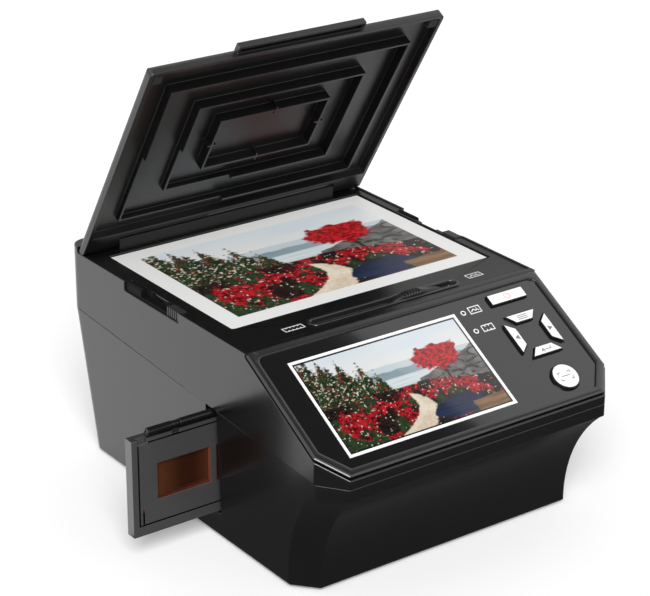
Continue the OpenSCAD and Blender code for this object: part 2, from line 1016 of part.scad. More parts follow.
module selector_knob() {
    z0 = deck_z - track_depth + 0.3;
    h = track_depth - 0.3 + knob_h;
    w = min(knob_w, groove_w - 1 - 2 * track_wall - 0.4);
    color("#2e2e2e")
        translate([knob_x, -groove_y, z0])
            difference() {
                intersection() {
                    linear_extrude(h + 1)
                        obround(knob_l, w);
                    translate([0, 0, h - 62])
                        rotate([90, 0, 0])
                            cylinder(h = 20, r = 62, center = true, $fn = 128);
                }
                for (i = [0 : knob_ribs - 1])
                    translate([(i - (knob_ribs - 1) / 2) * 1.9 - 0.45, -w, h - 1.1])
                        cube([0.9, 2 * w, 3]);
            }
}

arm_z = deck_z - 16;
arm_t = 2;
arm_w = 12;
arm_back = rod_y1 - 11.6;

// Stem through the slot, an arm back over the film holder, and down to the carriage
module selector_arm() {
    z0 = deck_z - track_depth + 0.3;
    color("#3c3c3c")
        translate([knob_x, 0, 0])
            union() {
                translate([-stem_l / 2, -groove_y - stem_w / 2, arm_z])
                    cube([stem_l, stem_w, z0 - arm_z]);
                translate([-arm_w / 2, -groove_y - stem_w / 2, arm_z])
                    cube([arm_w, arm_back + groove_y + stem_w / 2 + arm_t, arm_t]);
                translate([-arm_w / 2, arm_back, rod_z + 3])
                    cube([arm_w, arm_t, arm_z - rod_z - 2]);
                translate([-arm_w / 2, arm_back, rod_z + 3])
                    cube([arm_w, rod_y1 - arm_back - 6.6, arm_t]);
            }
}

bush_wall = 1.5;
bush_d = rod_d + 2 * rod_gap + 2 * bush_wall;
carriage_t = 4;

// Frame that runs on the two rods and holds the mirror at 45 degrees
module mirror_carriage() {
    w = carriage_w;
    m = mirror_l / 2 * cos(45);
    up = rod_z - window_z - 1;
    color("#303030")
        translate([mirror_x, 0, 0])
            difference() {
                union() {
                    for (y = [rod_y1, rod_y2])
                        translate([-w / 2, y, rod_z])
                            rotate([0, 90, 0])
                                cylinder(h = w, d = bush_d + 4);
                    for (s = [-1, 1])
                        translate([s * (w / 2 - 1.5) - 1.5, rod_y1, rod_z - 2])
                            cube([3, rod_y2 - rod_y1, carriage_t]);
                    translate([-w / 2, rod_y1 - 16.5, rod_z - 2])
                        cube([w, 14, 5]);
                    // cheeks that hold the mirror
                    for (s = [-1, 1])
                        translate([s * (w / 2 - 1.5) - 1.5, optic_y, window_z])
                            rotate([90, 0, 90])
                                linear_extrude(3)
                                    polygon([[-m - 3, up], [-m - 3, m - 2], [m - 2, -m - 3],
                                        [m + 4, -m - 3], [m + 4, -m + 4], [-m + 9, up]]);
                }
                for (y = [rod_y1, rod_y2])
                    translate([-w / 2 - 1, y, rod_z])
                        rotate([0, 90, 0])
                            cylinder(h = w + 2, d = bush_d);
                mirror_block(fit);
            }
}

module mirror_block(gap = 0) {
    translate([0, optic_y, window_z])
        rotate([-45, 0, 0])
            translate([-mirror_w / 2 - gap, -mirror_l / 2 - gap, -gap])
                cube([mirror_w + 2 * gap, mirror_l + 2 * gap, mirror_t + 2 * gap]);
}

module fold_mirror() {
    color("#c9d3d8")
        translate([mirror_x, 0, 0])
            mirror_block();
}

module carriage_bushes() {
    color("#b08d4a")
        translate([mirror_x, 0, 0])
            for (y = [rod_y1, rod_y2])
                for (s = [-1, 1])
                    translate([s * (carriage_w / 2 - 4) - 4, y, rod_z])
                        rotate([0, 90, 0])
                            difference() {
                                cylinder(h = 8, d = bush_d);
                                translate([0, 0, -1])
                                    cylinder(h = 10, d = rod_d + 2 * rod_gap);
                            }
}

module guide_rods() {
    color("#aab0b4")
        for (y = [rod_y1, rod_y2])
            translate([rod_x - rod_l / 2, y, rod_z])
                rotate([0, 90, 0])
                    cylinder(h = rod_l, d = rod_d);
}

// ---------------------------------------------------------------- optics chassis and camera

chassis_post_at = [[rod_x - rod_l / 2 + 10, rod_y1 + 4], [rod_x + rod_l / 2 - 10, rod_y1 + 4],
    [rod_x - rod_l / 2 + 10, rod_y2 - 4], [rod_x + rod_l / 2 - 10, rod_y2 - 4]];

module optics_chassis() {
    y0 = rod_y1 - 6;
    l = rod_y2 - rod_y1 + 12;
    color("#262626")
        difference() {
            union() {
                translate([rod_x - rod_l / 2, y0, chassis_z])
                    cube([rod_l, l, chassis_t]);
                for (x = [rod_x - rod_l / 2, rod_x + rod_l / 2 - chassis_wall])
                    translate([x, y0, chassis_z])
                        cube([chassis_wall, l, rod_z - chassis_z + 6]);
            }
            for (y = [rod_y1, rod_y2])
                translate([rod_x - rod_l / 2 - 1, y, rod_z])
                    rotate([0, 90, 0])
                        cylinder(h = rod_l + 2, d = rod_d);
            for (p = chassis_post_at)
                translate([p[0], p[1], chassis_z - 1])
                    cylinder(h = 6, d = small_screw_d + bolt_gap);
            for (x = [rod_x - rod_l / 2, rod_x + rod_l / 2 - chassis_wall])
                translate([x - 1, optic_y - 22, chassis_z + chassis_t + 6])
                    cube([chassis_wall + 2, 44, 34]);
            camera_screw_holes();
        }
}

camera_w = 32;
camera_post = 3;
camera_z = chassis_z + chassis_t + camera_post;

module camera_screw_holes() {
    for (sx = [-1, 1])
        for (sy = [-1, 1])
            translate([gate_x + sx * (camera_w / 2 - 3), optic_y + sy * (camera_w / 2 - 3), chassis_z - 1])
                cylinder(h = 12, d = small_screw_d + bolt_gap);
}

module camera_board() {
    color("#1f5a3a")
        difference() {
            union() {
                translate([gate_x - camera_w / 2, optic_y - camera_w / 2, camera_z])
                    cube([camera_w, camera_w, board_t]);
                for (sx = [-1, 1])
                    for (sy = [-1, 1])
                        translate([gate_x + sx * (camera_w / 2 - 3), optic_y + sy * (camera_w / 2 - 3),
                            camera_z - camera_post])
                            cylinder(h = camera_post + 0.2, d = 5);
            }
            camera_screw_holes();
        }
}

module camera_lens() {
    z = camera_z + board_t;
    color("#101010")
        translate([gate_x, optic_y, z])
            difference() {
                union() {
                    translate([-10, -10, 0])
                        cube([20, 20, 5]);
                    cylinder(h = 12, d = lens_d);
                }
                translate([0, 0, 9])
                    cylinder(h = 5, d = lens_d - 4);
            }
}

module chassis_screws() {
    color("#8c8f93")
        for (p = chassis_post_at)
            translate([p[0], p[1], chassis_z + chassis_t]) {
                translate([0, 0, -6])
                    cylinder(h = 6, d = small_screw_d);
                cylinder(h = 1.4, d = 3.8);
            }
}

// ---------------------------------------------------------------- control panel

// Plan of the panel in its own frame, drawn in by inset; the rear corners are round
module panel_plan(inset, r = 0) {
    w = half_w - inset;
    top = 0.4 + (inset > frame_inset ? inset - frame_inset : 0);
    bottom = panel_l - inset;
    cy = (chamfer_y / cos(panel_angle)) - 0.4 * inset;
    cx = chamfer_x - 0.2 * inset;
    difference() {
        polygon([[-w, -top], [-w, -bottom + cy], [-w + cx, -bottom], [w - cx, -bottom],
            [w, -bottom + cy], [w, -top]]);
        if (r > 0)
            for (s = [-1, 1])
                difference() {
                    translate([s * (w - r) - (s < 0 ? r + 1 : 0), -top - r])
                        square([r + 1, r + 1]);
                    translate([s * (w - r), -top - r])
                        circle(r);
                }
    }
}

module panel_frame() {
    color("#3b3b3b")
        on_panel()
            translate([0, 0, -frame_t])
                difference() {
                    linear_extrude(frame_t)
                        panel_plan(frame_inset);
                    translate([0, 0, -1])
                        linear_extrude(frame_t + 2)
                            panel_plan(opening_inset, 5);
                }
}

module trapezoid(gap = 0) {
    slope = (cross_half_out - cross_half_in) / (cross_out - cross_in);
    polygon([[-cross_half_in - gap, -cross_in + gap], [cross_half_in + gap, -cross_in + gap],
        [cross_half_out + gap * (1 + slope), -cross_out - gap],
        [-cross_half_out - gap * (1 + slope), -cross_out - gap]]);
}

// Outlines of the buttons in the panel's frame
module power_shape(gap = 0) {
    translate([keys_x, -power_s])
        square([power_w + 2 * gap, power_l + 2 * gap], center = true);
}

module cross_shape(turn, gap = 0) {
    translate([keys_x, -cross_s])
        rotate(turn)
            trapezoid(gap);
}

module scan_shape(gap = 0) {
    translate([keys_x, -scan_s])
        circle(scan_d / 2 + gap);
}

module all_buttons(gap = 0) {
    power_shape(gap);
    for (turn = [0, 90, 180, 270])
        cross_shape(turn, gap);
    scan_shape(gap);
}

ring_s = [13.4, 26.8];

module ring_shapes(gap = 0) {
    for (s = ring_s)
        translate([ring_x, -s])
            circle(ring_d / 2 + gap);
}

module lcd_shape(inset = 0) {
    translate([-lcd_x, -lcd_s])
        square([lcd_w - 2 * inset, lcd_l - 2 * inset], center = true);
}

module panel_overlay() {
    color("#1b1b1b")
        on_panel()
            translate([0, 0, -frame_t])
                linear_extrude(overlay_t)
                    difference() {
                        panel_plan(opening_inset + fit, 5);
                        all_buttons(button_gap);
                        ring_shapes(fit);
                        lcd_shape(-fit);
                    }
}

module lcd_outline() {
    color("#f2f2f2")
        on_panel()
            translate([0, 0, -frame_t])
                linear_extrude(overlay_t + 0.15)
                    difference() {
                        lcd_shape();
                        lcd_shape(lcd_line);
                    }
}

module lcd_window() {
    color("#2a3a44")
        on_panel()
            translate([0, 0, -frame_t])
                linear_extrude(overlay_t - 0.1)
                    lcd_shape(lcd_line + fit);
}

// Openings through the sloping plate of the upper housing
module panel_openings() {
    on_panel()
        translate([0, 0, -plate_back - 1])
            linear_extrude(plate_back + 20) {
                all_buttons(button_gap);
                ring_shapes(fit);
                lcd_shape(lcd_line + 1.5);
            }
}

module lcd_module() {
    color("#50565a")
        on_panel()
            translate([-lcd_x - lcd_module_w / 2, -lcd_s - lcd_module_l / 2, -plate_back - lcd_module_t])
                cube([lcd_module_w, lcd_module_l, lcd_module_t]);
}

// Two sheet-metal straps that clamp the display from behind
module lcd_brackets() {
    color("#9a9da1")
        on_panel()
            for (s = [-1, 1])
                translate([-lcd_x + s * 36 - 6, -lcd_s - lcd_module_l / 2 - 1.2, -plate_back - lcd_module_t - 1])
                    difference() {
                        cube([12, lcd_module_l + 2.4, lcd_module_t + 1]);
                        translate([-1, 1.2, 1])
                            cube([14, lcd_module_l, lcd_module_t + 1]);
                    }
}

// A button: cap through the overlay, with a flange that keeps it behind the plate
module button_body() {
    on_panel()
        translate([0, 0, -plate_back - flange_t]) {
            linear_extrude(plate_back + flange_t + button_proud)
                children(0);
            linear_extrude(flange_t)
                children(1);
        }
}

module power_button() {
    color("#f0f0f0")
        button_body() {
            power_shape();
            power_shape(button_gap + flange_w);
        }
}

module cross_button(turn) {
    color("#f0f0f0")
        button_body() {
            cross_shape(turn);
            cross_shape(turn, button_gap + flange_w * 0.4);
        }
}

module menu_button() { cross_button(180); }
module left_button() { cross_button(270); }
module right_button() { cross_button(90); }
module enter_button() { cross_button(0); }

module scan_button() {
    color("#f0f0f0")
        button_body() {
            scan_shape();
            scan_shape(button_gap + flange_w);
        }
}

module keys_place(z) {
    on_panel()
        translate([keys_x, -keys_top_s, z])
            children();
}

// Silicone mat with one dome under each button
module keypad_mat() {
    color("#55585a")
        difference() {
            union() {
                keys_place(-board_top)
                    translate([-keys_board_w / 2 + 6, -keys_board_l + 1, 0])
                        cube([keys_board_w - 12, keys_board_l - 2, mat_t]);
                keys_place(-board_top)
                    translate([-keys_board_w / 2 + 1, -keys_board_l + 10, 0])
                        cube([keys_board_w - 2, keys_board_l - 20, mat_t]);
            }
        }
}

module keypad_board() {
    color("#1f5a3a")
        difference() {
            keys_place(-board_top - board_t)
                translate([-keys_board_w / 2, -keys_board_l, 0])
                    cube([keys_board_w, keys_board_l, board_t]);
            on_panel()
                for (p = keys_post_at)
                    translate([keys_x + p[0], -keys_top_s - p[1], -board_top - board_t - 1])
                        cylinder(h = 5, d = small_screw_d + bolt_gap);
        }
}

module keypad_screws() {
    color("#8c8f93")
        on_panel()
            for (p = keys_post_at)
                translate([keys_x + p[0], -keys_top_s - p[1], -board_top - board_t]) {
                    cylinder(h = board_t + 3.5, d = small_screw_d);
                    translate([0, 0, -1.4])
                        cylinder(h = 1.4, d = 3.8);
                }
}

// Clear rods that carry the indicator light up through the overlay
module light_pipes() {
    color("#e8f0f4")
        on_panel()
            translate([0, 0, -plate_back - 2])
                linear_extrude(plate_back + 2 - overlay_drop)
                    ring_shapes();
}

// ---------------------------------------------------------------- film path

track_back = holder_back + holder_gap;
track_t = 2;
track_half = half_w - side_draft - wall - 1.5;
track_foot_z = base_z + wall;

// Channel that guides the holder from wall to wall, with the gate window
module film_track() {
    z0 = holder_z - holder_gap - 2;
    front = -holder_front - holder_gap;
    color("#2c2c2c")
        difference() {
            union() {
                translate([-track_half, front - track_t, z0])
                    cube([2 * track_half, track_back - front + 2 * track_t, 2]);
                translate([-track_half, track_back, z0])
                    cube([2 * track_half, track_t, holder_top - z0]);
                translate([-track_half, front - track_t, z0])
                    cube([2 * track_half, track_t, 6]);
                for (x = [-70, -30, 30, 70])
                    translate([x - 4, front - track_t, track_foot_z])
                        cube([8, track_back - front + 2 * track_t, z0 - track_foot_z]);
            }
            translate([gate_x - window_w / 2 - 1.5, track_back - 1, window_z - window_h / 2 - 1.5])
                cube([window_w + 3, track_t + 2, window_h + 3]);
            for (x = [-66, 42])
                translate([x, track_back - 1, window_z - 14])
                    cube([24, track_t + 2, 28]);
        }
}

module holder_windows(gap = 0) {
    for (i = [0 : frames - 1])
        translate([window_first + i * frame_pitch - window_w / 2 - gap, -60, window_z - window_h / 2 - gap])
            cube([window_w + 2 * gap, 80, window_h + 2 * gap]);
}

cover_z = holder_z + 6.4;
cover_top = holder_top - 3;
lug_at = [barrel_start + 18, holder_l / 2 + 8, holder_l - barrel_start - 22];

// Rear leaf of the holder, with a raised border that the cover lies in
module holder_base() {
    color("#6f6f6f")
        difference() {
            union() {
                difference() {
                    translate([-holder_left, -holder_front, holder_z])
                        cube([holder_l, holder_t, holder_h]);
                    // room for the cover and its upper edge
                    translate([-holder_left + cover_edge - fit, -holder_front - 1, cover_z - fit])
                        cube([holder_l - 2 * cover_edge + 2 * fit, cover_t + fit + 1, holder_h]);
                    // film channel
                    translate([-holder_left + 6, -holder_front + cover_t, window_z - film_h / 2 - fit])
                        cube([holder_l - 12, film_t + fit, film_h + 2 * fit]);
                    // lower outer corners
                    for (x = [-holder_left, -holder_left + holder_l])
                        translate([x, 0, holder_z])
                            rotate([90, 45, 0])
                                cube([9.2, 9.2, 4 * holder_t], center = true);
                }
                for (x = lug_at)
                    holder_lug(x);
            }
            holder_windows();
            translate([-holder_left, barrel_y, barrel_z])
                rotate([0, 90, 0])
                    cylinder(h = holder_l, d = holder_pin_d);
        }
}

module holder_lug(x) {
    translate([-holder_left + x - lug_w / 2, barrel_y, barrel_z])
        rotate([0, 90, 0])
            cylinder(h = lug_w, d = barrel_d - 0.6);
    translate([-holder_left + x - lug_w / 2, barrel_y, holder_top - 1])
        cube([lug_w, holder_back - barrel_y, barrel_d / 2]);
}

// Front leaf with the hinge barrel along its top
module holder_cover() {
    x0 = -holder_left + cover_edge;
    color("#7b7b7b")
        difference() {
            union() {
                translate([x0, -holder_front, cover_z])
                    cube([holder_l - 2 * cover_edge, cover_t, cover_top - cover_z]);
                translate([-holder_left + barrel_start, -holder_front, cover_top - 1])
                    cube([holder_l - 2 * barrel_start, 2, barrel_z - cover_top + 1]);
                translate([-holder_left + barrel_start, barrel_y, barrel_z])
                    rotate([0, 90, 0])
                        cylinder(h = holder_l - 2 * barrel_start, d = barrel_d);
            }
            holder_windows();
            for (x = lug_at)
                translate([-holder_left + x - lug_w / 2 - 0.3, -60, cover_top + 0.6])
                    cube([lug_w + 0.6, 60, 20]);
            translate([-holder_left, barrel_y, barrel_z])
                rotate([0, 90, 0])
                    cylinder(h = holder_l, d = holder_pin_d + bolt_gap);
            // small slot for opening the cover with a fingernail
            translate([x0 + 2.2, -holder_front - 1, cover_z + 1])
                cube([0.9, 2, 8]);
        }
}

module holder_pin() {
    color("#9a9da1")
        translate([-holder_left + barrel_start + 0.5, barrel_y, barrel_z])
            rotate([0, 90, 0])
                cylinder(h = holder_l - 2 * barrel_start - 1, d = holder_pin_d);
}

module film_strip() {
    color("#8a4b22")
        translate([-holder_left + 7, -holder_front + cover_t, window_z - film_h / 2])
            cube([holder_l - 14, film_t, film_h]);
}

light_box_w = window_w + 14;
light_box_h = window_h + 14;
light_front = -holder_front - barrel_d / 2 - holder_gap - 0.6;

module light_box(depth, w, h) {
    translate([gate_x - w / 2, light_front - depth, window_z - h / 2])
        cube([w, depth, h]);
}

module backlight_diffuser() {
    color("#f4f6f8")
        light_box(2, light_box_w - 4, light_box_h - 4);
}

module backlight_board() {
    color("#e2e2d8")
        translate([0, -10, 0])
            light_box(board_t, light_box_w - 4, light_box_h - 4);
}

module backlight_housing() {
    w = light_box_w;
    h = light_box_h;
    color("#262626")
        difference() {
            union() {
                light_box(12 + board_t, w, h);
                for (s = [-1, 1])
                    translate([gate_x + s * (w / 2 - 5) - 3, light_front - 10, track_foot_z])
                        cube([6, 8, window_z - h / 2 - track_foot_z + 1]);
            }
            translate([0, 1, 0])
                light_box(11 + board_t, w - 4, h - 4);
        }
}

// ---------------------------------------------------------------- photo lights

light_strip_h = 8;

module photo_lights() {
    color("#e2e2d8")
        mirrored_x()
            translate([half_w - wall - light_inset - board_t, light_y - light_l / 2, light_z])
                cube([board_t, light_l, light_strip_h]);
}

module light_diffusers() {
    color("#f4f6f8")
        mirrored_x()
            translate([half_w - wall - light_inset - board_t - 1.6, light_y - light_l / 2, light_z])
                cube([1.6, light_l, light_strip_h]);
}

// ---------------------------------------------------------------- main board and sockets

board_y = rod_y2 + 30;
board_w = 120;
board_z = 20;
board_h = 56;
board_post_at = [[-board_w / 2 + 5, board_z + 5], [board_w / 2 - 5, board_z + 5],
    [-board_w / 2 + 5, board_z + board_h - 5], [board_w / 2 - 5, board_z + board_h - 5]];
usb_x = 38;
card_x = -20;
socket_z = board_z + 12;
function rear_y(z) = body_back - rear_draft * (seam_rear_z - z) / draft_h;

module standoff_pilots() {
    for (p = chassis_post_at)
        translate([p[0], p[1], chassis_z - 4])
            cylinder(h = 6, d = small_screw_d + bolt_gap);
    for (p = board_post_at)
        translate([p[0], board_y - 1, p[1]])
            rotate([-90, 0, 0])
                cylinder(h = 6, d = small_screw_d + bolt_gap);
}

module socket_holes() {
    translate([usb_x - 4.6, board_y + 3, socket_z - 0.6])
        cube([9.2, 30, 4.2]);
    translate([card_x - 13, board_y + 3, socket_z - 0.6])
        cube([26, 30, 3.6]);
}

module main_board() {
    color("#1f5a3a")
        difference() {
            union() {
                translate([-board_w / 2, board_y - board_t, board_z])
                    cube([board_w, board_t, board_h]);
                translate([-14, board_y - board_t - 2.4, board_z + 24])
                    cube([22, 2.4, 22]);
                translate([24, board_y - board_t - 2, board_z + 40])
                    cube([30, 2, 5]);
            }
            for (p = board_post_at)
                translate([p[0], board_y - board_t - 1, p[1]])
                    rotate([-90, 0, 0])
                        cylinder(h = 6, d = small_screw_d + bolt_gap);
        }
}

module board_screws() {
    color("#8c8f93")
        for (p = board_post_at)
            translate([p[0], board_y - board_t, p[1]])
                rotate([-90, 0, 0]) {
                    cylinder(h = board_t + 4, d = small_screw_d);
                    translate([0, 0, -1.4])
                        cylinder(h = 1.4, d = 3.8);
                }
}

// Sockets stand on the board and end just inside the rear wall's opening
module socket(x, w, h) {
    depth = rear_y(socket_z) - board_y - 0.6;
    translate([x - w / 2, board_y, socket_z])
        difference() {
            cube([w, depth, h]);
            translate([0.5, depth - 8, 0.5])
                cube([w - 1, 9, h - 1]);
        }
}

module usb_socket() {
    color("#a3a7aa")
        socket(usb_x, 8.4, 3);
}

module card_socket() {
    color("#a3a7aa")
        socket(card_x, 25, 2.6);
}

// ---------------------------------------------------------------- ribbons held inside

ribbon_t = 0.4;
ribbon_w = 20;

// Flat strip through a list of [y, z] points, each leg as thick as the ribbon
module ribbon(points, x) {
    for (i = [0 : len(points) - 2]) {
        a = points[i];
        b = points[i + 1];
        y0 = min(a[0], b[0]);
        z0 = min(a[1], b[1]);
        translate([x - ribbon_w / 2, y0, z0])
            cube([ribbon_w, abs(a[0] - b[0]) + ribbon_t, abs(a[1] - b[1]) + ribbon_t]);
    }
}

lcd_ribbon_w = 10;
lcd_ribbon_x = -lcd_x - 49.2;
lcd_ribbon_s = 32;

// From the back of the display, over the film holder along the left wall, down and across to the board
module lcd_ribbon() {
    t = plate_back + lcd_module_t;
    y0 = -deck_front - lcd_ribbon_s * cos(panel_angle) + t * sin(panel_angle);
    z0 = deck_z - lcd_ribbon_s * sin(panel_angle) - t * cos(panel_angle);
    z1 = slot_top + 4;
    y1 = board_y - board_t - ribbon_t;
    x0 = lcd_ribbon_x - lcd_ribbon_w / 2;
    color("#b9772f")
        union() {
            on_panel()
                translate([x0, -lcd_ribbon_s - 2, -t - ribbon_t])
                    cube([lcd_ribbon_w, 14, ribbon_t]);
            translate([x0, y0, z1])
                cube([lcd_ribbon_w, ribbon_t, z0 - 0.1 - z1]);
            translate([x0, y0, z1])
                cube([lcd_ribbon_w, y1 - y0 + ribbon_t, ribbon_t]);
            translate([x0, y1, socket_z + 20])
                cube([lcd_ribbon_w, ribbon_t, z1 - socket_z - 20 + ribbon_t]);
            translate([x0, y1, socket_z + 20])
                cube([-board_w / 2 + 10 - x0, ribbon_t, lcd_ribbon_w]);
        }
}

module camera_ribbon() {
    z0 = camera_z + board_t;
    y0 = optic_y + camera_w / 2 - 5;
    y1 = board_y - board_t - ribbon_t;
    color("#b9772f")
        ribbon([[y0, z0], [rod_y2 + 12, z0], [rod_y2 + 12, board_z + 6], [y1, board_z + 6]], gate_x);
}

upper_housing();
lower_housing();
rubber_feet();
housing_screws();
hinge_bar();
hinge_screws();
lid();
lid_bumpers();
hinge_pins();
platen_glass();
glass_tape();
sample_print();
notch_grips();
selector_track();
selector_knob();
selector_arm();
mirror_carriage();
carriage_bushes();
fold_mirror();
guide_rods();
optics_chassis();
chassis_screws();
camera_board();
camera_lens();
panel_frame();
panel_overlay();
lcd_outline();
lcd_window();
lcd_module();
lcd_brackets();
power_button();
menu_button();
left_button();
right_button();
enter_button();
scan_button();
keypad_mat();
keypad_board();
keypad_screws();
light_pipes();
film_track();
holder_base();
holder_cover();
holder_pin();
film_strip();
backlight_diffuser();
backlight_board();
backlight_housing();
photo_lights();
light_diffusers();
main_board();
card_socket();
usb_socket();
board_screws();
lcd_ribbon();
camera_ribbon();
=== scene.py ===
import math
import bmesh
import bpy
import numpy as np
from mathutils import Matrix, Vector


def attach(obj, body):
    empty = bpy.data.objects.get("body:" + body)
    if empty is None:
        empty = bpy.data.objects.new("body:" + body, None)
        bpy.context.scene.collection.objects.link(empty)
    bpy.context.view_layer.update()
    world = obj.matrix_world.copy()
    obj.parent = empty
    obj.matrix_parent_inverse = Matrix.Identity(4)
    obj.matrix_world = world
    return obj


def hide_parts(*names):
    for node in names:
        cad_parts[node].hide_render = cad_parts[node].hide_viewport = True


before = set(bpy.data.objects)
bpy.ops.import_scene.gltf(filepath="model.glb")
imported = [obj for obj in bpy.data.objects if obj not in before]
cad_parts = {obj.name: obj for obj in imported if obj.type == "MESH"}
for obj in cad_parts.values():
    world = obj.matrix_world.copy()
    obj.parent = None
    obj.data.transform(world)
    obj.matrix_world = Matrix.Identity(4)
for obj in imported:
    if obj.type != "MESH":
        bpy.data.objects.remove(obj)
scene = bpy.context.scene
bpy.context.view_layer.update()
print("frame loaded:", len(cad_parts), "nodes")

mm = 0.001
rootBody = "scanner"


def tone(code):
    # sRGB hex to the linear colour that a shader wants
    c = np.array([int(code[i:i + 2], 16) for i in (1, 3, 5)]) / 255
    c = np.where(c <= 0.04045, c / 12.92, ((c + 0.055) / 1.055) ** 2.4)
    return (*c, 1.0)


# finishes

def addNode(tree, kind, inputs=None, **settings):
    # one shader node with its settings; an input is a value or another node's socket
    node = tree.nodes.new("ShaderNode" + kind)
    for key, value in settings.items():
        setattr(node, key, value)
    for key, value in (inputs or {}).items():
        if isinstance(value, bpy.types.NodeSocket):
            tree.links.new(value, node.inputs[key])
        else:
            node.inputs[key].default_value = value
    return node


def linked(name, data):
    obj = bpy.data.objects.new(name, data)
    scene.collection.objects.link(obj)
    return obj


def newMaterial(name, colour, rough, **sockets):
    # principled shader whose constant values sit on its own sockets
    material = bpy.data.materials.new(name)
    material.use_nodes = True
    tree = material.node_tree
    shader = tree.nodes["Principled BSDF"]
    shader.inputs["Base Color"].default_value = tone(colour)
    shader.inputs["Roughness"].default_value = rough
    for key, value in sockets.items():
        shader.inputs[key.replace("_", " ")].default_value = value
    return material, tree, shader


def grainOn(tree, shader, grain, depth, tint, spread=0.12, roughSpread=0.05, wave=0.0):
    # moulded surface: a fine noise for grain, a slow noise for colour and gloss drift,
    # and for glossy mouldings a very shallow wave as thick plastic leaves it when it shrinks
    place = addNode(tree, "TexCoord").outputs["Object"]
    fine = addNode(tree, "TexNoise", {"Vector": place, "Scale": 1 / (grain * mm), "Detail": 3.0})
    slow = addNode(tree, "TexNoise", {"Vector": place, "Scale": 1 / (45 * mm), "Detail": 4.0})
    base = tuple(shader.inputs["Base Color"].default_value)
    blend = addNode(tree, "Mix", {0: slow.outputs["Fac"], 6: base, 7: tone(tint)}, data_type="RGBA")
    ramp = addNode(tree, "MapRange", {"Value": fine.outputs["Fac"], "To Min": 1 - spread,
                                      "To Max": 1 + spread})
    speck = addNode(tree, "Mix", {0: 1.0, 6: blend.outputs[2], 7: ramp.outputs["Result"]},
                    data_type="RGBA", blend_type="MULTIPLY")
    tree.links.new(speck.outputs[2], shader.inputs["Base Color"])
    rough = shader.inputs["Roughness"].default_value
    gloss = addNode(tree, "MapRange", {"Value": slow.outputs["Fac"],
                                       "To Min": max(rough - roughSpread, 0.01),
                                       "To Max": rough + roughSpread})
    tree.links.new(gloss.outputs["Result"], shader.inputs["Roughness"])
    bump = addNode(tree, "Bump", {"Height": fine.outputs["Fac"], "Strength": 0.25,
                                  "Distance": depth * mm})
    if wave:
        swell = addNode(tree, "TexNoise", {"Vector": place, "Scale": 1 / (16 * mm), "Detail": 1.0})
        broad = addNode(tree, "Bump", {"Height": swell.outputs["Fac"], "Strength": 0.3,
                                       "Distance": wave * mm})
        tree.links.new(broad.outputs["Normal"], bump.inputs["Normal"])
    tree.links.new(bump.outputs["Normal"], shader.inputs["Normal"])


def grained(name, colour, tint, rough, grain=0.35, depth=0.003, wave=0.0, **sockets):
    # a grained finish: its colour and the tint it drifts to, its gloss, and its grain's size and depth in mm
    material, tree, shader = newMaterial(name, colour, rough, IOR=1.54, **sockets)
    grainOn(tree, shader, grain, depth, tint, wave=wave, roughSpread=min(0.05, rough / 5))
    return material


def metal(name, colour, rough, tint):
    # bare metal: a mirror blurred by its finish, with a faint drift in colour
    material, tree, shader = newMaterial(name, colour, rough, Metallic=1.0)
    grainOn(tree, shader, 0.6, 0.002, tint, spread=0.05, roughSpread=0.02)
    return material


def axisOf(tree, axis):
    # one coordinate of the point on the surface, in metres
    place = addNode(tree, "TexCoord").outputs["Object"]
    return addNode(tree, "SeparateXYZ", {0: place}).outputs[axis]


def layColour(tree, shader, share, code):
    # a second colour over the base colour, by a share from 0 to 1
    base = shader.inputs["Base Color"].links[0].from_socket
    mix = addNode(tree, "Mix", {0: share, 6: base, 7: tone(code)}, data_type="RGBA")
    tree.links.new(mix.outputs[2], shader.inputs["Base Color"])


# black ABS from a polished mould: near black with long soft mirror images
housingAbs = grained("housingAbs", "#0b0b0b", "#0f0f10", 0.24, wave=0.02, Coat_Weight=0.35,
                     Coat_Roughness=0.18)
# the lid's floor, from a less polished mould: its mirror images are broad
lidAbs = grained("lidAbs", "#060606", "#0a0a0a", 0.36, Specular_IOR_Level=0.75)
# painted shade: the lid's deep rib walls get a duller copy of its black, darker than the floor between them
shadedRibAbs = grained("shadedRibAbs", "#040404", "#060607", 0.5, Specular_IOR_Level=0.18)
# small black mouldings, the hinge bar and the knob: satin, with short highlights
trimAbs = grained("trimAbs", "#0b0b0b", "#111112", 0.34, Specular_IOR_Level=0.28)
knobAbs = grained("knobAbs", "#1a1a1b", "#212122", 0.36, Specular_IOR_Level=0.35)
# the panel's rim and the selector's tray: dark grey ABS under a clear gloss
frameAbs = grained("frameAbs", "#1f1f20", "#262627", 0.2, Coat_Weight=0.5, Coat_Roughness=0.12)
# painted shade and painted highlight on the grips: deep inside their pockets their black plastic has almost
# no gloss, standing in for shade, and on their front tabs a paler copy of it stands in for the light they
# catch
shadedGripAbs = grained("shadedGripAbs", "#101011", "#161617", 0.5, depth=0.004, Specular_IOR_Level=0.06)
litTabAbs = grained("litTabAbs", "#29292a", "#333334", 0.35, depth=0.004, Specular_IOR_Level=0.4)
# grey ABS of the film holder, with a clear gloss; its hinge barrel is black and duller, by height in mm
holderAbs = grained("holderAbs", "#3a3a3b", "#424243", 0.24, Coat_Weight=0.7, Coat_Roughness=0.14)
barrel = {"from": 74.55, "to": 74.85, "colour": "#0d0d0e", "gloss": (0.6, 0.2)}


def darkenBarrel():
    tree = holderAbs.node_tree
    shader = tree.nodes["Principled BSDF"]
    part = addNode(tree, "MapRange", {"Value": axisOf(tree, "Z"), "From Min": barrel["from"] * mm,
                                      "From Max": barrel["to"] * mm}).outputs["Result"]
    layColour(tree, shader, part, barrel["colour"])
    leaf, high = barrel["gloss"]
    gloss = addNode(tree, "MapRange", {"Value": part, "To Min": leaf, "To Max": high})
    for socket in ("Specular IOR Level", "Coat Weight"):
        tree.links.new(gloss.outputs["Result"], shader.inputs[socket])


darkenBarrel()
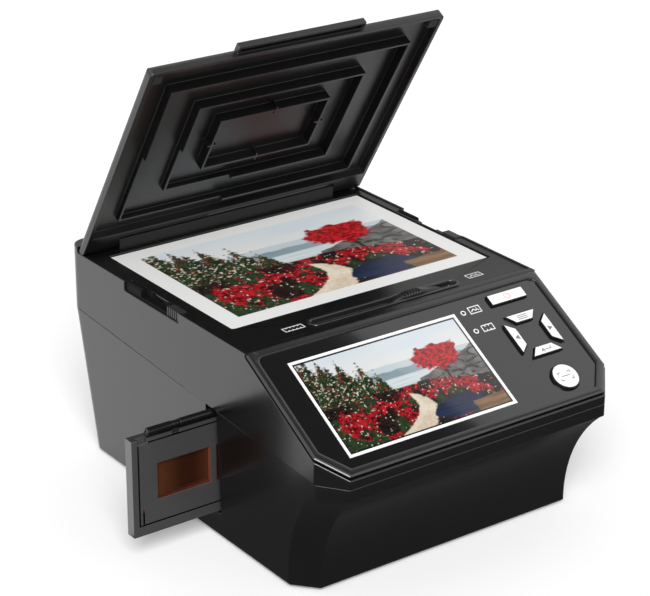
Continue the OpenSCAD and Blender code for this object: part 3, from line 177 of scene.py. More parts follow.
# inner mouldings: plain satin black
innerAbs = grained("innerAbs", "#1a1a1b", "#222223", 0.5, depth=0.006)
# white ABS key tops: slightly warm, satin, on glossier black bodies
keycapAbs = grained("keycapAbs", "#e9e9e8", "#f0f0ee", 0.35)
keySideAbs = grained("keySideAbs", "#0b0b0b", "#101011", 0.3)
# printed polycarbonate overlay: deep black under a hard, flat gloss
overlayPolycarbonate, overlayTree, overlayShader = newMaterial(
    "overlayPolycarbonate", "#121213", 0.07, IOR=1.58, Coat_Weight=0.6, Coat_Roughness=0.03)
grainOn(overlayTree, overlayShader, 0.8, 0.0005, "#161617", roughSpread=0.01)
# screen-printed ink: flat, opaque
inkWhite = grained("inkWhite", "#e9e9e9", "#f0f0f0", 0.5)
inkGrey = grained("inkGrey", "#6f6f71", "#7a7a7c", 0.5)
inkDark = grained("inkDark", "#0c0c0d", "#131314", 0.4)
inkRed = grained("inkRed", "#d98682", "#e0938e", 0.5)
# painted shadow: the dark of a narrow gap between two mouldings, laid in as matt black with no gloss at all
gapShadow = grained("gapShadow", "#050505", "#080808", 0.9, depth=0.001, Specular_IOR_Level=0.0)
# moulded rubber: matt, coarser in grain
rubberBlack = grained("rubberBlack", "#101011", "#171718", 0.75, grain=0.5, depth=0.02)
# silicone key mat: soft grey, dull
siliconeMat = grained("siliconeMat", "#6b6d70", "#74767a", 0.6, depth=0.006)
# opal acrylic: milky white
diffuserAcrylic = grained("diffuserAcrylic", "#e8edf2", "#f2f5f8", 0.45, depth=0.006)
# circuit boards under solder mask: white where the lights sit, and green
boardWhite = grained("boardWhite", "#d9d8d0", "#e2e1da", 0.4, depth=0.006)
boardGreen = grained("boardGreen", "#14502f", "#1a5d38", 0.35, grain=1.2, depth=0.006)
# polyimide ribbon: amber brown, smooth
ribbonPolyimide = grained("ribbonPolyimide", "#a5661f", "#b57427", 0.3, depth=0.006)
# zinc-plated steel, turned brass and silvered glass: grey, yellow and nearly white mirrors
steelZinc = metal("steelZinc", "#b4b7ba", 0.32, "#9fa3a7")
brassBush = metal("brassBush", "#b8924e", 0.35, "#a58040")
mirrorSilver = metal("mirrorSilver", "#dfe4e6", 0.03, "#d5dadc")
# soda-lime float glass: clear, faint green
floatGlass = newMaterial("floatGlass", "#e9f2ee", 0.02, IOR=1.52, Transmission_Weight=1.0)[0]
# acrylic light pipes: clear with a slight haze
lightPipePmma = newMaterial("lightPipePmma", "#dfe8ee", 0.12, IOR=1.49, Transmission_Weight=0.6)[0]
# exposed colour negative: dark amber acetate with a clear gloss
filmAcetate, filmTree, filmShader = newMaterial("filmAcetate", "#391c0f", 0.14, IOR=1.48, Coat_Weight=0.3,
                                                Coat_Roughness=0.05, Transmission_Weight=0.25)
grainOn(filmTree, filmShader, 3.0, 0.001, "#2c150b", spread=0.3, roughSpread=0.02)
# its frames, in mm and shares of the pitch: each is darkest at its middle and painted paler towards its ends,
# as a painted glow of light at the window's sides
filmFrameLight = {"pitch": 38, "start": -137.7, "middle": 0.6, "darkest": 0.1, "thin": 0.45, "colour": "#55301c"}


# painted light: the film's colour is blended paler towards each frame's ends
def paintFilmLight():
    n = filmFrameLight
    along = addNode(filmTree, "Math", {0: axisOf(filmTree, "X"), 1: 1 / (n["pitch"] * mm),
                                       2: -n["start"] / n["pitch"]}, operation="MULTIPLY_ADD")
    share = addNode(filmTree, "Math", {0: along.outputs[0]}, operation="FRACT")
    off = addNode(filmTree, "Math", {0: share.outputs[0], 1: n["middle"]}, operation="SUBTRACT")
    far = addNode(filmTree, "Math", {0: off.outputs[0]}, operation="ABSOLUTE")
    thin = addNode(filmTree, "MapRange", {"Value": far.outputs[0], "From Min": n["darkest"],
                                          "From Max": n["thin"]})
    layColour(filmTree, filmShader, thin.outputs["Result"], n["colour"])


paintFilmLight()
# painted light and painted shade for the windows' inner faces: amber standing in for the light through the
# film, and brown for its shade
filmGlow = grained("filmGlow", "#8f4a2e", "#733420", 0.3)
filmShade = grained("filmShade", "#451a0d", "#5c2516", 0.3)


def picturePaper(name, rough, glow, share, **sockets):
    # a picture laid down as a colour for each point: fine paper tooth, and for the display its own light
    material, tree, shader = newMaterial(name, "#ffffff", rough, **sockets)
    picture = addNode(tree, "Attribute", attribute_name="picture")
    place = addNode(tree, "TexCoord").outputs["Object"]
    tooth = addNode(tree, "TexNoise", {"Vector": place, "Scale": 1 / (0.5 * mm), "Detail": 3.0})
    ramp = addNode(tree, "MapRange", {"Value": tooth.outputs["Fac"], "To Min": 0.97 * share,
                                      "To Max": 1.03 * share})
    speck = addNode(tree, "Mix", {0: 1.0, 6: picture.outputs["Color"], 7: ramp.outputs["Result"]},
                    data_type="RGBA", blend_type="MULTIPLY")
    tree.links.new(speck.outputs[2], shader.inputs["Base Color"])
    bump = addNode(tree, "Bump", {"Height": tooth.outputs["Fac"], "Strength": 0.1,
                                  "Distance": 0.004 * mm})
    tree.links.new(bump.outputs["Normal"], shader.inputs["Normal"])
    if glow:
        tree.links.new(picture.outputs["Color"], shader.inputs["Emission Color"])
        shader.inputs["Emission Strength"].default_value = glow
    return material


# resin-coated photographic paper: pearl gloss
photoPaper = picturePaper("photoPaper", 0.32, 0, 1.0, IOR=1.5)
# backlit display under a clear glass: its own light, with a hard gloss over it
displayGlass = picturePaper("displayGlass", 0.08, 0.55, 0.3, IOR=1.52, Coat_Weight=0.4, Coat_Roughness=0.03)


# a CAD node keeps its mesh and gets its finish from this list
finishes = {
    housingAbs: ["upper_housing", "lower_housing"],
    lidAbs: ["lid"],
    trimAbs: ["hinge_bar", "selector_track", "selector_knob"],
    frameAbs: ["panel_frame"],
    shadedGripAbs: ["notch_grips"],
    holderAbs: ["holder_base", "holder_cover"],
    innerAbs: ["selector_arm", "mirror_carriage", "optics_chassis", "camera_lens", "lcd_module",
               "film_track", "backlight_housing"],
    overlayPolycarbonate: ["panel_overlay"],
    displayGlass: ["lcd_window"],
    photoPaper: ["sample_print"],
    inkWhite: ["lcd_outline"],
    keycapAbs: [name + "_button" for name in ("power", "menu", "left", "right", "enter", "scan")],
    rubberBlack: ["rubber_feet", "lid_bumpers", "glass_tape"],
    siliconeMat: ["keypad_mat"],
    diffuserAcrylic: ["backlight_diffuser", "light_diffusers"],
    boardWhite: ["backlight_board", "photo_lights"],
    boardGreen: ["camera_board", "keypad_board", "main_board"],
    ribbonPolyimide: ["lcd_ribbon", "camera_ribbon"],
    steelZinc: ["housing_screws", "hinge_screws", "hinge_pins", "guide_rods", "chassis_screws",
                "lcd_brackets", "keypad_screws", "holder_pin", "card_socket", "usb_socket", "board_screws"],
    brassBush: ["carriage_bushes"],
    mirrorSilver: ["fold_mirror"],
    floatGlass: ["platen_glass"],
    lightPipePmma: ["light_pipes"],
    filmAcetate: ["film_strip"],
}
for material, nodes in finishes.items():
    for node in nodes:
        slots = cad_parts[node].data.materials
        slots.clear()
        slots.append(material)
plain = set(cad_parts) - {n for nodes in finishes.values() for n in nodes}
print("finishes set; nodes left plain:", sorted(plain))


# shapes worked out as arrays

def addPiece(name, points, faces, material, body, replaced=(), angle=35, colours=None):
    # points in millimetres, in the row frame
    mesh = bpy.data.meshes.new(name)
    mesh.from_pydata(np.asarray(points, float).reshape(-1, 3) * mm, [], faces)
    mesh.update()
    piece = linked(name, mesh)
    mesh.materials.append(material)
    mesh.shade_smooth()
    mesh.set_sharp_from_angle(angle=math.radians(angle))
    if colours is not None:
        layer = mesh.color_attributes.new("picture", "FLOAT_COLOR", "POINT")
        layer.data.foreach_set("color", np.asarray(colours, np.float32).ravel())
    dress(piece, body, replaced)


def dress(piece, body, replaced=()):
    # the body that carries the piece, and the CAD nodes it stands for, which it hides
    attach(piece, body)
    if replaced:
        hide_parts(*replaced)


def gridFaces(rows, cols, aroundRows=False, aroundCols=False):
    # quads of a grid of points, joined round either way if asked
    r = np.arange(rows if aroundRows else rows - 1)
    c = np.arange(cols if aroundCols else cols - 1)
    r, c = np.meshgrid(r, c, indexing="ij")
    r2, c2 = (r + 1) % rows, (c + 1) % cols
    return np.stack([r * cols + c, r * cols + c2, r2 * cols + c2, r2 * cols + c], -1).reshape(-1, 4).tolist()


def insetOutline(corners, radii, inset, steps):
    # a convex outline drawn in by inset: sides move inwards, and each corner is an arc between them
    p = np.asarray(corners, float)
    n = len(p)
    radii = np.broadcast_to(np.asarray(radii, float), n)
    side = np.roll(p, -1, 0) - p
    side /= np.linalg.norm(side, axis=1, keepdims=True)
    inward = np.stack([-side[:, 1], side[:, 0]], 1)
    back = np.roll(side, 1, 0)
    backIn = np.roll(inward, 1, 0)
    turn = np.arccos(np.clip((back * side).sum(1), -1, 1))
    r = np.maximum(radii - inset, 0.02)
    corner = p + (inward + backIn) / (1 + (inward * backIn).sum(1, keepdims=True)) * inset
    reach = (r * np.tan(turn / 2))[:, None]
    centre = corner - back * reach + backIn * r[:, None]
    t = np.linspace(0, 1, steps)[None, :] * turn[:, None]
    arc = (-backIn[:, None] * np.cos(t)[..., None] + back[:, None] * np.sin(t)[..., None]) * r[:, None, None]
    return (centre[:, None] + arc).reshape(-1, 2)


def skinFaces(rows, cols, loop=False):
    # faces between rings: a frame where the profile closes on itself, else a form with both ends capped
    faces = gridFaces(rows, cols, aroundRows=loop, aroundCols=True)
    if not loop:
        faces += [list(range(cols))[::-1], list(range((rows - 1) * cols, rows * cols))]
    return faces


def ringSkin(rings, heights, loop=False):
    # rings of 2-D points, each at its own height
    points = np.stack([np.column_stack([ring, np.full(len(ring), h)]) for ring, h in zip(rings, heights)])
    return points.reshape(-1, 3), skinFaces(*points.shape[:2], loop)


def profiled(corners, radii, profile, steps=8, loop=False):
    # an outline drawn in and raised along a profile of (inset, height)
    rings = [insetOutline(corners, radii, inset, steps) for inset, _ in profile]
    return ringSkin(rings, [h for _, h in profile], loop)


def rounded(path, radius, steps):
    # an open profile with each inner corner replaced by a small arc: a quadratic through the corner
    p = np.asarray(path, float)
    out = [p[:1]]
    t = np.linspace(0, 1, steps)[:, None]
    for a, b, c in zip(p[:-2], p[1:-1], p[2:]):
        start = b + (a - b) / np.linalg.norm(a - b) * min(radius, np.linalg.norm(a - b) / 2)
        end = b + (c - b) / np.linalg.norm(c - b) * min(radius, np.linalg.norm(c - b) / 2)
        out.append((1 - t) ** 2 * start + 2 * t * (1 - t) * b + t ** 2 * end)
    out.append(p[-1:])
    return np.concatenate(out)


# how a copy of a CAD node is cleaned and rounded: lengths in mm, angles in degrees
rounding = {"merge": 0.002, "flat": 0.6, "segments": 3, "limit": 28}


def softened(name, node, width, material, body, clamp=False):
    # the CAD node's own form with its edges rounded as a mould leaves them
    limit = math.radians(rounding["limit"])
    shape = bmesh.new()
    shape.from_mesh(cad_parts[node].data)
    bmesh.ops.remove_doubles(shape, verts=shape.verts, dist=rounding["merge"] * mm)
    bmesh.ops.dissolve_limit(shape, angle_limit=math.radians(rounding["flat"]), verts=shape.verts,
                             edges=shape.edges)
    bmesh.ops.connect_verts_concave(shape, faces=shape.faces)
    mesh = bpy.data.meshes.new(name)
    shape.to_mesh(mesh)
    shape.free()
    piece = linked(name, mesh)
    mesh.materials.append(material)
    mesh.shade_smooth()
    mesh.set_sharp_from_angle(angle=limit)
    bevel = piece.modifiers.new("edges", "BEVEL")
    bevel.width = width * mm
    bevel.segments = rounding["segments"]
    bevel.limit_method = "ANGLE"
    bevel.angle_limit = limit
    bevel.use_clamp_overlap = clamp
    bevel.miter_outer = "MITER_SHARP" if clamp else "MITER_ARC"
    # the flats keep their own normals, and only the narrow rounds between them are shaded across
    flats = piece.modifiers.new("flats", "WEIGHTED_NORMAL")
    flats.weight = 100
    flats.keep_sharp = True
    dress(piece, body, (node,))
    return piece


# camera: angles in degrees, place in mm, and focal length in pixels of a frame 650 wide

view = {"azimuth": -36.01, "elevation": 23.09, "roll": 0.19, "focal": 2230.14, "width": 650, "sensor": 36.0,
        "place": (-690.77, -943.73, 609.92)}


def addCamera():
    az, el, roll = (math.radians(view[k]) for k in ("azimuth", "elevation", "roll"))
    back = Vector((math.sin(az) * math.cos(el), -math.cos(az) * math.cos(el), math.sin(el)))
    right = Vector((0, 0, 1)).cross(back).normalized()
    up = back.cross(right)
    right2 = right * math.cos(roll) + up * math.sin(roll)
    up2 = back.cross(right2)
    camera = bpy.data.cameras.new("camera")
    camera.sensor_fit = "HORIZONTAL"
    camera.sensor_width = view["sensor"]
    camera.lens = view["focal"] * view["sensor"] / view["width"]
    camera.clip_end = 100
    obj = linked("camera", camera)
    turn = Matrix((right2, up2, back)).transposed().to_4x4()
    obj.matrix_world = Matrix.Translation(Vector(view["place"]) * mm) @ turn
    scene.camera = obj


addCamera()

studio = {"diffuse": 0.5, "floor": "#f2f2f2", "lift": 0.12}
# one large soft light from the front left, far enough away to light the floor evenly
keyLight = {"from": (-0.45, -0.65, 0.66), "strength": 2.9, "angle": 34}
# cards that only reflections see, as a studio hangs them for glossy black: corners in metres, and how light
# each one is
cards = {
    "overheadCard": {"corners": [(0.511, 0.926, 2.259), (1.521, -0.842, 1.406), (0.777, -1.498, 1.885),
                                 (-0.233, 0.270, 2.738)], "light": 0.05},
    "rearCard": {"corners": [(2.027, 0.995, 0.421), (0.615, 2.111, 0.421), (0.373, 1.805, 1.339),
                             (1.785, 0.689, 1.339)], "light": 0.36},
    "frontCard": {"corners": [(-0.34, -0.45, 0.0015), (0.5, -0.45, 0.0015), (0.5, 0.0, 0.0015),
                              (-0.34, 0.0, 0.0015)], "light": 0.09},
}


def addCard(name, corners, material):
    mesh = bpy.data.meshes.new(name)
    mesh.from_pydata(corners, [], [(0, 1, 2, 3)])
    mesh.materials.append(material)
    card = linked(name, mesh)
    return card


def addStudio():
    # the same white is seen by the camera, in reflections and through glass; diffuse light has its own level
    world = bpy.data.worlds.new("studio")
    scene.world = world
    world.use_nodes = True
    tree = world.node_tree

    def seenRay(tree):
        path = addNode(tree, "LightPath")
        two = addNode(tree, "Math", {0: path.outputs["Is Camera Ray"],
                                     1: path.outputs["Is Glossy Ray"]}, operation="MAXIMUM")
        return addNode(tree, "Math", {0: two.outputs[0], 1: path.outputs["Is Transmission Ray"]},
                       operation="MAXIMUM").outputs[0]

    soft = tree.nodes["Background"]
    soft.inputs["Color"].default_value = (1, 1, 1, 1)
    soft.inputs["Strength"].default_value = studio["diffuse"]
    white = addNode(tree, "Background", {"Color": (1, 1, 1, 1), "Strength": 1.0})
    mix = addNode(tree, "MixShader", {0: seenRay(tree), 1: soft.outputs[0], 2: white.outputs[0]})
    tree.links.new(mix.outputs[0], tree.nodes["World Output"].inputs["Surface"])
    light = bpy.data.lights.new("keyLight", "SUN")
    light.energy = keyLight["strength"]
    light.angle = math.radians(keyLight["angle"])
    lamp = linked("keyLight", light)
    lamp.matrix_world = Vector(keyLight["from"]).to_track_quat("Z", "Y").to_matrix().to_4x4()
    paper, tree, shader = newMaterial("floorPaper", studio["floor"], 0.9, Specular_IOR_Level=0.0)
    shader.inputs["Emission Color"].default_value = (1, 1, 1, 1)
    lift = addNode(tree, "Math", {0: seenRay(tree), 1: studio["lift"]}, operation="MULTIPLY")
    tree.links.new(lift.outputs[0], shader.inputs["Emission Strength"])
    addCard("floor", [(-6, -6, 0), (6, -6, 0), (6, 6, 0), (-6, 6, 0)], paper)
    for name, card in cards.items():
        board, tree, shader = newMaterial(name + "Board", "#000000", 1.0, Specular_IOR_Level=0.0)
        shader.inputs["Emission Color"].default_value = (1, 1, 1, 1)
        shader.inputs["Emission Strength"].default_value = card["light"]
        piece = addCard(name, card["corners"], board)
        piece.visible_camera = piece.visible_diffuse = piece.visible_transmission = False
        piece.visible_shadow = piece.visible_volume_scatter = False
    scene.view_settings.view_transform = "Standard"


addStudio()
print("camera and studio ready")


# housings, lid and holder with their moulded edges, each edge's width in mm

edges = {"housing": 0.45, "lid": 0.3, "trim": 0.3, "tray": 0.5, "holder": 0.3, "grip": 0.2}
# the lid stands open by this angle at rest; faces across its plane, within these places in mm, are the ribs'
# walls
ribWalls = {"open": 58, "half": 97.2, "low": 138, "high": 255.5, "across": 0.4}
# the grips' front tabs are the faces in front of and above these places in mm
gripTabs = {"front": 17.6, "above": 120.5}


def onRibWall(centre, normal):
    lean = math.radians(ribWalls["open"])
    across = abs(normal.dot(Vector((0, -math.sin(lean), -math.cos(lean)))))
    inRim = abs(centre.x) < ribWalls["half"] and ribWalls["low"] < centre.z < ribWalls["high"]
    return inRim and across < ribWalls["across"]


def onGripTab(centre, normal):
    return centre.y < gripTabs["front"] and centre.z > gripTabs["above"]


def refinish(piece, material, chosen):
    # the faces that are chosen, by centre in mm and normal, get a second material
    piece.data.materials.append(material)
    for face in piece.data.polygons:
        if chosen(face.center / mm, face.normal):
            face.material_index = 1


softened("upperShell", "upper_housing", edges["housing"], housingAbs, rootBody)
softened("lowerShell", "lower_housing", edges["housing"], housingAbs, rootBody)
# the lid's rib walls get the darker copy, painted shade
refinish(softened("ribbedLid", "lid", edges["lid"], lidAbs, "lid"), shadedRibAbs, onRibWall)
softened("hingeBar", "hinge_bar", edges["trim"], trimAbs, rootBody)
softened("selectorTray", "selector_track", edges["tray"], frameAbs, rootBody)
# the grips' front tabs get the paler copy, a painted highlight
refinish(softened("fingerGrips", "notch_grips", edges["grip"], shadedGripAbs, rootBody, clamp=True),
         litTabAbs, onGripTab)
softened("holderBase", "holder_base", edges["holder"], holderAbs, "film_holder")
softened("holderCover", "holder_cover", edges["holder"], holderAbs, "film_holder")
print("softened copies made")


# flat forms in a plane of their own, and where that plane lies

def stroke(path, width, low, high, closed=False):
    # a rectangular section carried along a flat path: at each point the section stands on the mitred normal
    p = np.asarray(path, float)
    if closed:
        ahead, behind = np.roll(p, -1, 0) - p, p - np.roll(p, 1, 0)
    else:
        step = np.diff(p, axis=0)
        ahead, behind = np.vstack([step, step[-1:]]), np.vstack([step[:1], step])
    normals = [np.column_stack([-d[:, 1], d[:, 0]]) / np.linalg.norm(d, axis=1, keepdims=True)
               for d in (ahead, behind)]
    mitre = (normals[0] + normals[1]) / (1 + (normals[0] * normals[1]).sum(1, keepdims=True))
    side = mitre * width / 2
    n = len(p)
    tops = np.stack([p + side, p - side, p - side, p + side], 1)
    heights = np.broadcast_to(np.array([high, high, low, low], float), (n, 4))
    points = np.concatenate([tops, heights[..., None]], 2).reshape(-1, 3)
    faces = gridFaces(n, 4, aroundRows=closed, aroundCols=True)
    if not closed:
        faces += [[3, 2, 1, 0], [4 * n - 4, 4 * n - 3, 4 * n - 2, 4 * n - 1]]
    return points, faces


def platelet(corners, low, high, radius=0.1):
    # a flat plate over a convex outline
    return profiled(corners, radius, [(0, low), (0, high)], steps=3)


def arc(centre, radius, start, end, steps):
    # points round a centre, from one angle to the other in degrees
    t = np.radians(np.linspace(start, end, steps))
    return np.column_stack([centre[0] + radius * np.cos(t), centre[1] + radius * np.sin(t)])


def rectangle(x, y, w, h):
    # corners of a rectangle about its middle
    return [(x - w / 2, y - h / 2), (x + w / 2, y - h / 2), (x + w / 2, y + h / 2), (x - w / 2, y + h / 2)]


def joined(forms):
    # several forms as one: the faces of each count on from the points before it
    points, faces, start = [], [], 0
    for p, f in forms:
        points.append(np.asarray(p, float).reshape(-1, 3))
        faces += [[i + start for i in face] for face in f]
        start += len(points[-1])
    return np.concatenate(points), faces


# in mm: the fold between panel and deck (y, z), the panel's slope in degrees, the deck, and the left wall
planes = {"fold": (-60, 125), "slope": 30, "deck": 124.2, "wall": -100, "wallTop": 90, "lean": 3 / 88}
slope = math.radians(planes["slope"])


def onPanel(points):
    # the sloping panel: x across, y up the slope, z out of it, from the fold
    p = np.asarray(points, float).reshape(-1, 3)
    c, s = math.cos(slope), math.sin(slope)
    y, z = planes["fold"]
    return np.column_stack([p[:, 0], y + p[:, 1] * c - p[:, 2] * s, z + p[:, 1] * s + p[:, 2] * c])


def onDeck(points):
    # level: x across, y to the rear, z up from the deck
    return np.asarray(points, float).reshape(-1, 3) + (0, 0, planes["deck"])


def onWall(points):
    # the left side wall above the film slot: x forwards, y up, z out to the left
    p = np.asarray(points, float).reshape(-1, 3)
    wall = planes["wall"] + (planes["wallTop"] - p[:, 1]) * planes["lean"]
    return np.column_stack([wall - p[:, 2], -p[:, 0], p[:, 1]])


def onFront(points):
    # upright, facing forwards: x across, y up, z towards the front
    p = np.asarray(points, float).reshape(-1, 3)
    return np.column_stack([p[:, 0], -p[:, 2], p[:, 1]])


# the picture on the print, shown again on the display

def cellNoise(x, y, seed):
    # a random height at each whole number, blended smoothly in between
    table = np.random.default_rng(seed).random((64, 64))
    xi, yi = np.floor(x).astype(int), np.floor(y).astype(int)
    fx, fy = x - xi, y - yi
    fx, fy = fx * fx * (3 - 2 * fx), fy * fy * (3 - 2 * fy)
    a, b = table[yi % 64, xi % 64], table[yi % 64, (xi + 1) % 64]
    c, d = table[(yi + 1) % 64, xi % 64], table[(yi + 1) % 64, (xi + 1) % 64]
    return (a * (1 - fx) + b * fx) * (1 - fy) + (c * (1 - fx) + d * fx) * fy


def roughNoise(x, y, seed, layers=4):
    # layers of cell noise, each twice as fine and half as strong as the last, over their full sum
    total = sum(cellNoise(x * 2 ** k, y * 2 ** k, seed + k) / 2 ** k for k in range(layers))
    return total / (2 - 2 ** (1 - layers))


def landscape(u, v):
    # an autumn lake in layers from the back; u runs to the right and v upwards, from 0 to 1. Each layer is a
    # distance to its edge, made a soft cover, with two colours blended by noise
    def ink(code):
        return np.array(tone(code)[:3])

    def blend(low, high, t):
        t = np.clip(t, 0, 1)[..., None]
        return ink(low) * (1 - t) + ink(high) * t

    def inside(distance, soft=0.006):
        return np.clip(distance / soft + 0.5, 0, 1)

    def lay(under, cover, colour):
        cover = np.clip(cover, 0, 1)[..., None]
        return under * (1 - cover) + colour * cover

    fine, mid = roughNoise(u * 90, v * 60, 3), roughNoise(u * 14, v * 10, 11)
    # sky, a far and a near ridge, and the water before them
    image = blend("#f6f3ee", "#dfe9f0", (v - 0.6) / 0.4 + 0.9 * (roughNoise(u * 3, v * 8, 21) - 0.5))
    farRidge = inside(0.7 + 0.06 * roughNoise(u * 5, u * 0, 31) - v)
    image = lay(image, farRidge, blend("#b9cad4", "#d3dee3", v * 1.2))
    nearRidge = inside(0.61 + 0.09 * roughNoise(u * 7 + 4, u * 0, 35) - v)
    image = lay(image, nearRidge, blend("#8299a5", "#a5b5bb", mid))
    image = lay(image, inside(0.585 - v), blend("#eef2f2", "#c3d3da", roughNoise(u * 8, v * 120, 41)))
    # rocks on the right, with dark cracks
    rocks = 0.47 + 0.2 * np.clip((u - 0.6) / 0.4, 0, 1) + 0.05 * roughNoise(u * 9, v * 5, 45)
    rocks = inside(np.minimum(rocks - v, (u - 0.57 - 0.06 * mid) * 2))
    cracks = inside(0.05 - np.abs(roughNoise(u * 12 + v * 5, v * 16, 51) - 0.5), 0.05)
    image = lay(image, rocks, blend("#4e4d4c", "#8c8985", 1.5 * mid - 0.2 + 0.4 * (fine - 0.5)))
    image = lay(image, rocks * cracks, blend("#2a2928", "#3d3b39", fine))
    # a red maple
    crown = 1 - np.hypot((u - 0.78) / 0.13, (v - 0.68) / 0.15) + 0.9 * (roughNoise(u * 22, v * 16, 55) - 0.5)
    trunk = inside(0.007 - np.abs(u - 0.775 - 0.04 * (v - 0.5))) * inside(0.66 - v) * inside(v - 0.42)
    image = lay(image, trunk, blend("#2a1a14", "#3a241a", fine))
    image = lay(image, inside(crown, 0.1), blend("#5c0a10", "#e0262c", 0.35 + 1.9 * (fine - 0.4)))
    # twelve firs from the left, each a tip with tiers, some frost and some red leaves
    for k in range(12):
        middle, tip = 0.01 + 0.034 * k, 1.0 - 0.03 * k + 0.08 * math.sin(2.3 * k)
        tiers = 0.012 * np.abs(((tip - v) * 24) % 1 - 0.25)
        reach = 0.2 * (tip - v) + tiers + 0.03 * (fine - 0.5)
        fir = inside(np.minimum(reach - np.abs(u - middle), (v - 0.3) * 3), 0.01)
        image = lay(image, fir, blend("#07110a", "#2b4827", 1.9 * fine - 0.5 + 0.15 * (k % 2)))
        frost = roughNoise(u * 85 + k, v * 58, 61 + k, 2)
        image = lay(image, fir * inside(frost - 0.7, 0.1), blend("#bfae8c", "#efe8dc", mid))
        image = lay(image, fir * inside(0.24 - frost, 0.08), blend("#7d1a1a", "#b53a2e", mid))
    # the near shore: dark ground, red flowers, grass and pale petals
    shore = 0.45 + 0.06 * roughNoise(u * 6, v * 3, 71) - 0.14 * np.clip((u - 0.6) / 0.4, 0, 1)
    field = inside(shore - v, 0.012)
    image = lay(image, field, blend("#08090b", "#35231d", 1.9 * fine - 0.5))
    poppies = roughNoise(u * 15, v * 9, 75) + 0.25 * (roughNoise(u * 50, v * 34, 77) - 0.5)
    image = lay(image, field * inside(poppies - 0.53, 0.05), blend("#2e060b", "#c9202b", 2.2 * fine - 0.55))
    grass = roughNoise(u * 11 + 3, v * 7, 79) + 0.2 * (fine - 0.5)
    image = lay(image, field * inside(0.4 - grass, 0.05), blend("#0c1a10", "#3a5230", fine))
    petals = inside(roughNoise(u * 80, v * 60, 81, 2) - 0.8, 0.06)
    image = lay(image, field * petals, blend("#cdb9a2", "#f2e9df", mid))
    # a winding path that widens towards the front, a pond, and a brown bank in the corner
    down = np.clip((0.42 - v) / 0.42, 0, 1)
    winding = 0.47 + 0.09 * np.sin(3.4 * down) - 0.02 * down
    path = 0.01 + 0.09 * down ** 1.3 + 0.03 * (mid - 0.5) + 0.01 * (fine - 0.5) - np.abs(u - winding)
    path = inside(path, 0.01) * inside(0.41 - v)
    image = lay(image, path, blend("#b8956e", "#f0e3d0", 0.2 + 1.2 * (0.5 * mid + 0.5 * fine)))
    pond = 1 - np.hypot((u - 0.72) / 0.16, (v - 0.12) / 0.11) + 0.5 * (roughNoise(u * 9, v * 14, 83) - 0.5)
    image = lay(image, inside(pond, 0.06), blend("#0c1428", "#26355a", roughNoise(u * 10, v * 60, 87)))
    bank = inside(np.minimum(0.09 + 0.1 * (u - 0.8) + 0.04 * mid - v, u - 0.8 - 0.04 * (fine - 0.5)), 0.01)
    return lay(image, bank, blend("#4a3524", "#a98359", roughNoise(u * 8, v * 50, 91)))


def pictureForm(box, cells, low, high, area, border):
    # a sheet: a grid of points on top, the same edge again below, and a flat underside
    x, y = np.meshgrid(np.linspace(box[0], box[1], cells[0] + 1), np.linspace(box[2], box[3], cells[1] + 1))
    cols, rows = cells[0] + 1, cells[1] + 1
    points = np.column_stack([x.ravel(), y.ravel(), np.full(x.size, float(high))])
    loop = np.concatenate([np.arange(cols - 1), np.arange(rows - 1) * cols + cols - 1,
                           (rows - 1) * cols + np.arange(cols - 1, 0, -1), np.arange(rows - 1, 0, -1) * cols])
    under = points[loop].copy()
    under[:, 2] = low
    n, start = len(loop), len(points)
    here, there = np.arange(n), (np.arange(n) + 1) % n
    skirt = np.stack([start + here, start + there, loop[there], loop[here]], 1).tolist()
    faces = gridFaces(rows, cols) + skirt + [list(range(start + n - 1, start - 1, -1))]
    u, v = (x - area[0]) / (area[1] - area[0]), (y - area[2]) / (area[3] - area[2])
    image = landscape(np.clip(u, 0, 1), np.clip(v, 0, 1))
    outside = (np.maximum(np.abs(u - 0.5), np.abs(v - 0.5)) > 0.5)[..., None]
    image = np.where(outside, np.array(tone(border)[:3]), image).reshape(-1, 3)
    image = np.vstack([image, np.broadcast_to(tone(border)[:3], (n, 3))])
    return np.vstack([points, under]), faces, np.column_stack([image, np.ones(len(image))])


samplePrint = {"box": (-85.8, 92.2, -26.8, 100.2), "cells": (340, 242), "low": 123.0, "high": 123.3,
               "area": (-73.6, 80.0, -14.6, 88.2), "border": "#f1f1ef"}
points, faces, colours = pictureForm(**samplePrint)
addPiece("printSheet", points, faces, photoPaper, "print", ("sample_print",), colours=colours)

# the display's glass lies in the white outline, with a dark margin round its picture
display = {"box": (-78.35, 30.75, -75.15, -14.05), "cells": (300, 168), "low": -2.2, "high": -1.3,
           "area": (-77.3, 29.7, -74.1, -15.1), "border": "#0b0b0c"}
points, faces, colours = pictureForm(**display)
addPiece("displayPicture", onPanel(points), faces, displayGlass, rootBody, ("lcd_window",),
         colours=colours)
print("print and display made")


# control panel: its plan in mm, with both front corners cut off. The rear edge stays put while the rim's
# outer edge rounds over, so it meets the deck flush

panel = {"half": 100, "length": 88, "cut": (12.6, 14.4), "cutShrinks": (0.2, 0.4), "rear": (0.12, 4.0),
         "rearMoves": (3.2, 4.6)}
panelFrame = {"outer": 0.2, "inner": 4.6, "low": -2.2, "edge": 2.4, "drop": 1.15, "innerEdge": 0.25,
              "corner": 0.8, "rearRound": (1.0, 5.0), "gap": (-0.1, 0.5)}


def panelCorners(inset):
    # the plan drawn in by inset
    (first, last), (start, end), shrink = panel["rear"], panel["rearMoves"], panel["cutShrinks"]
    rear = first + (last - first) * max(inset - start, 0) / (end - start)
    w, front = panel["half"] - inset, panel["length"] - inset
    cx = panel["cut"][0] - shrink[0] * inset
    cy = panel["cut"][1] / math.cos(slope) - shrink[1] * inset
    return [(-w, -rear), (-w, -front + cy), (-w + cx, -front), (w - cx, -front), (w, -front + cy), (w, -rear)]


def panelRing(inset, rear, steps):
    return insetOutline(panelCorners(inset), [rear] + [panelFrame["corner"]] * 4 + [rear], 0.0, steps)


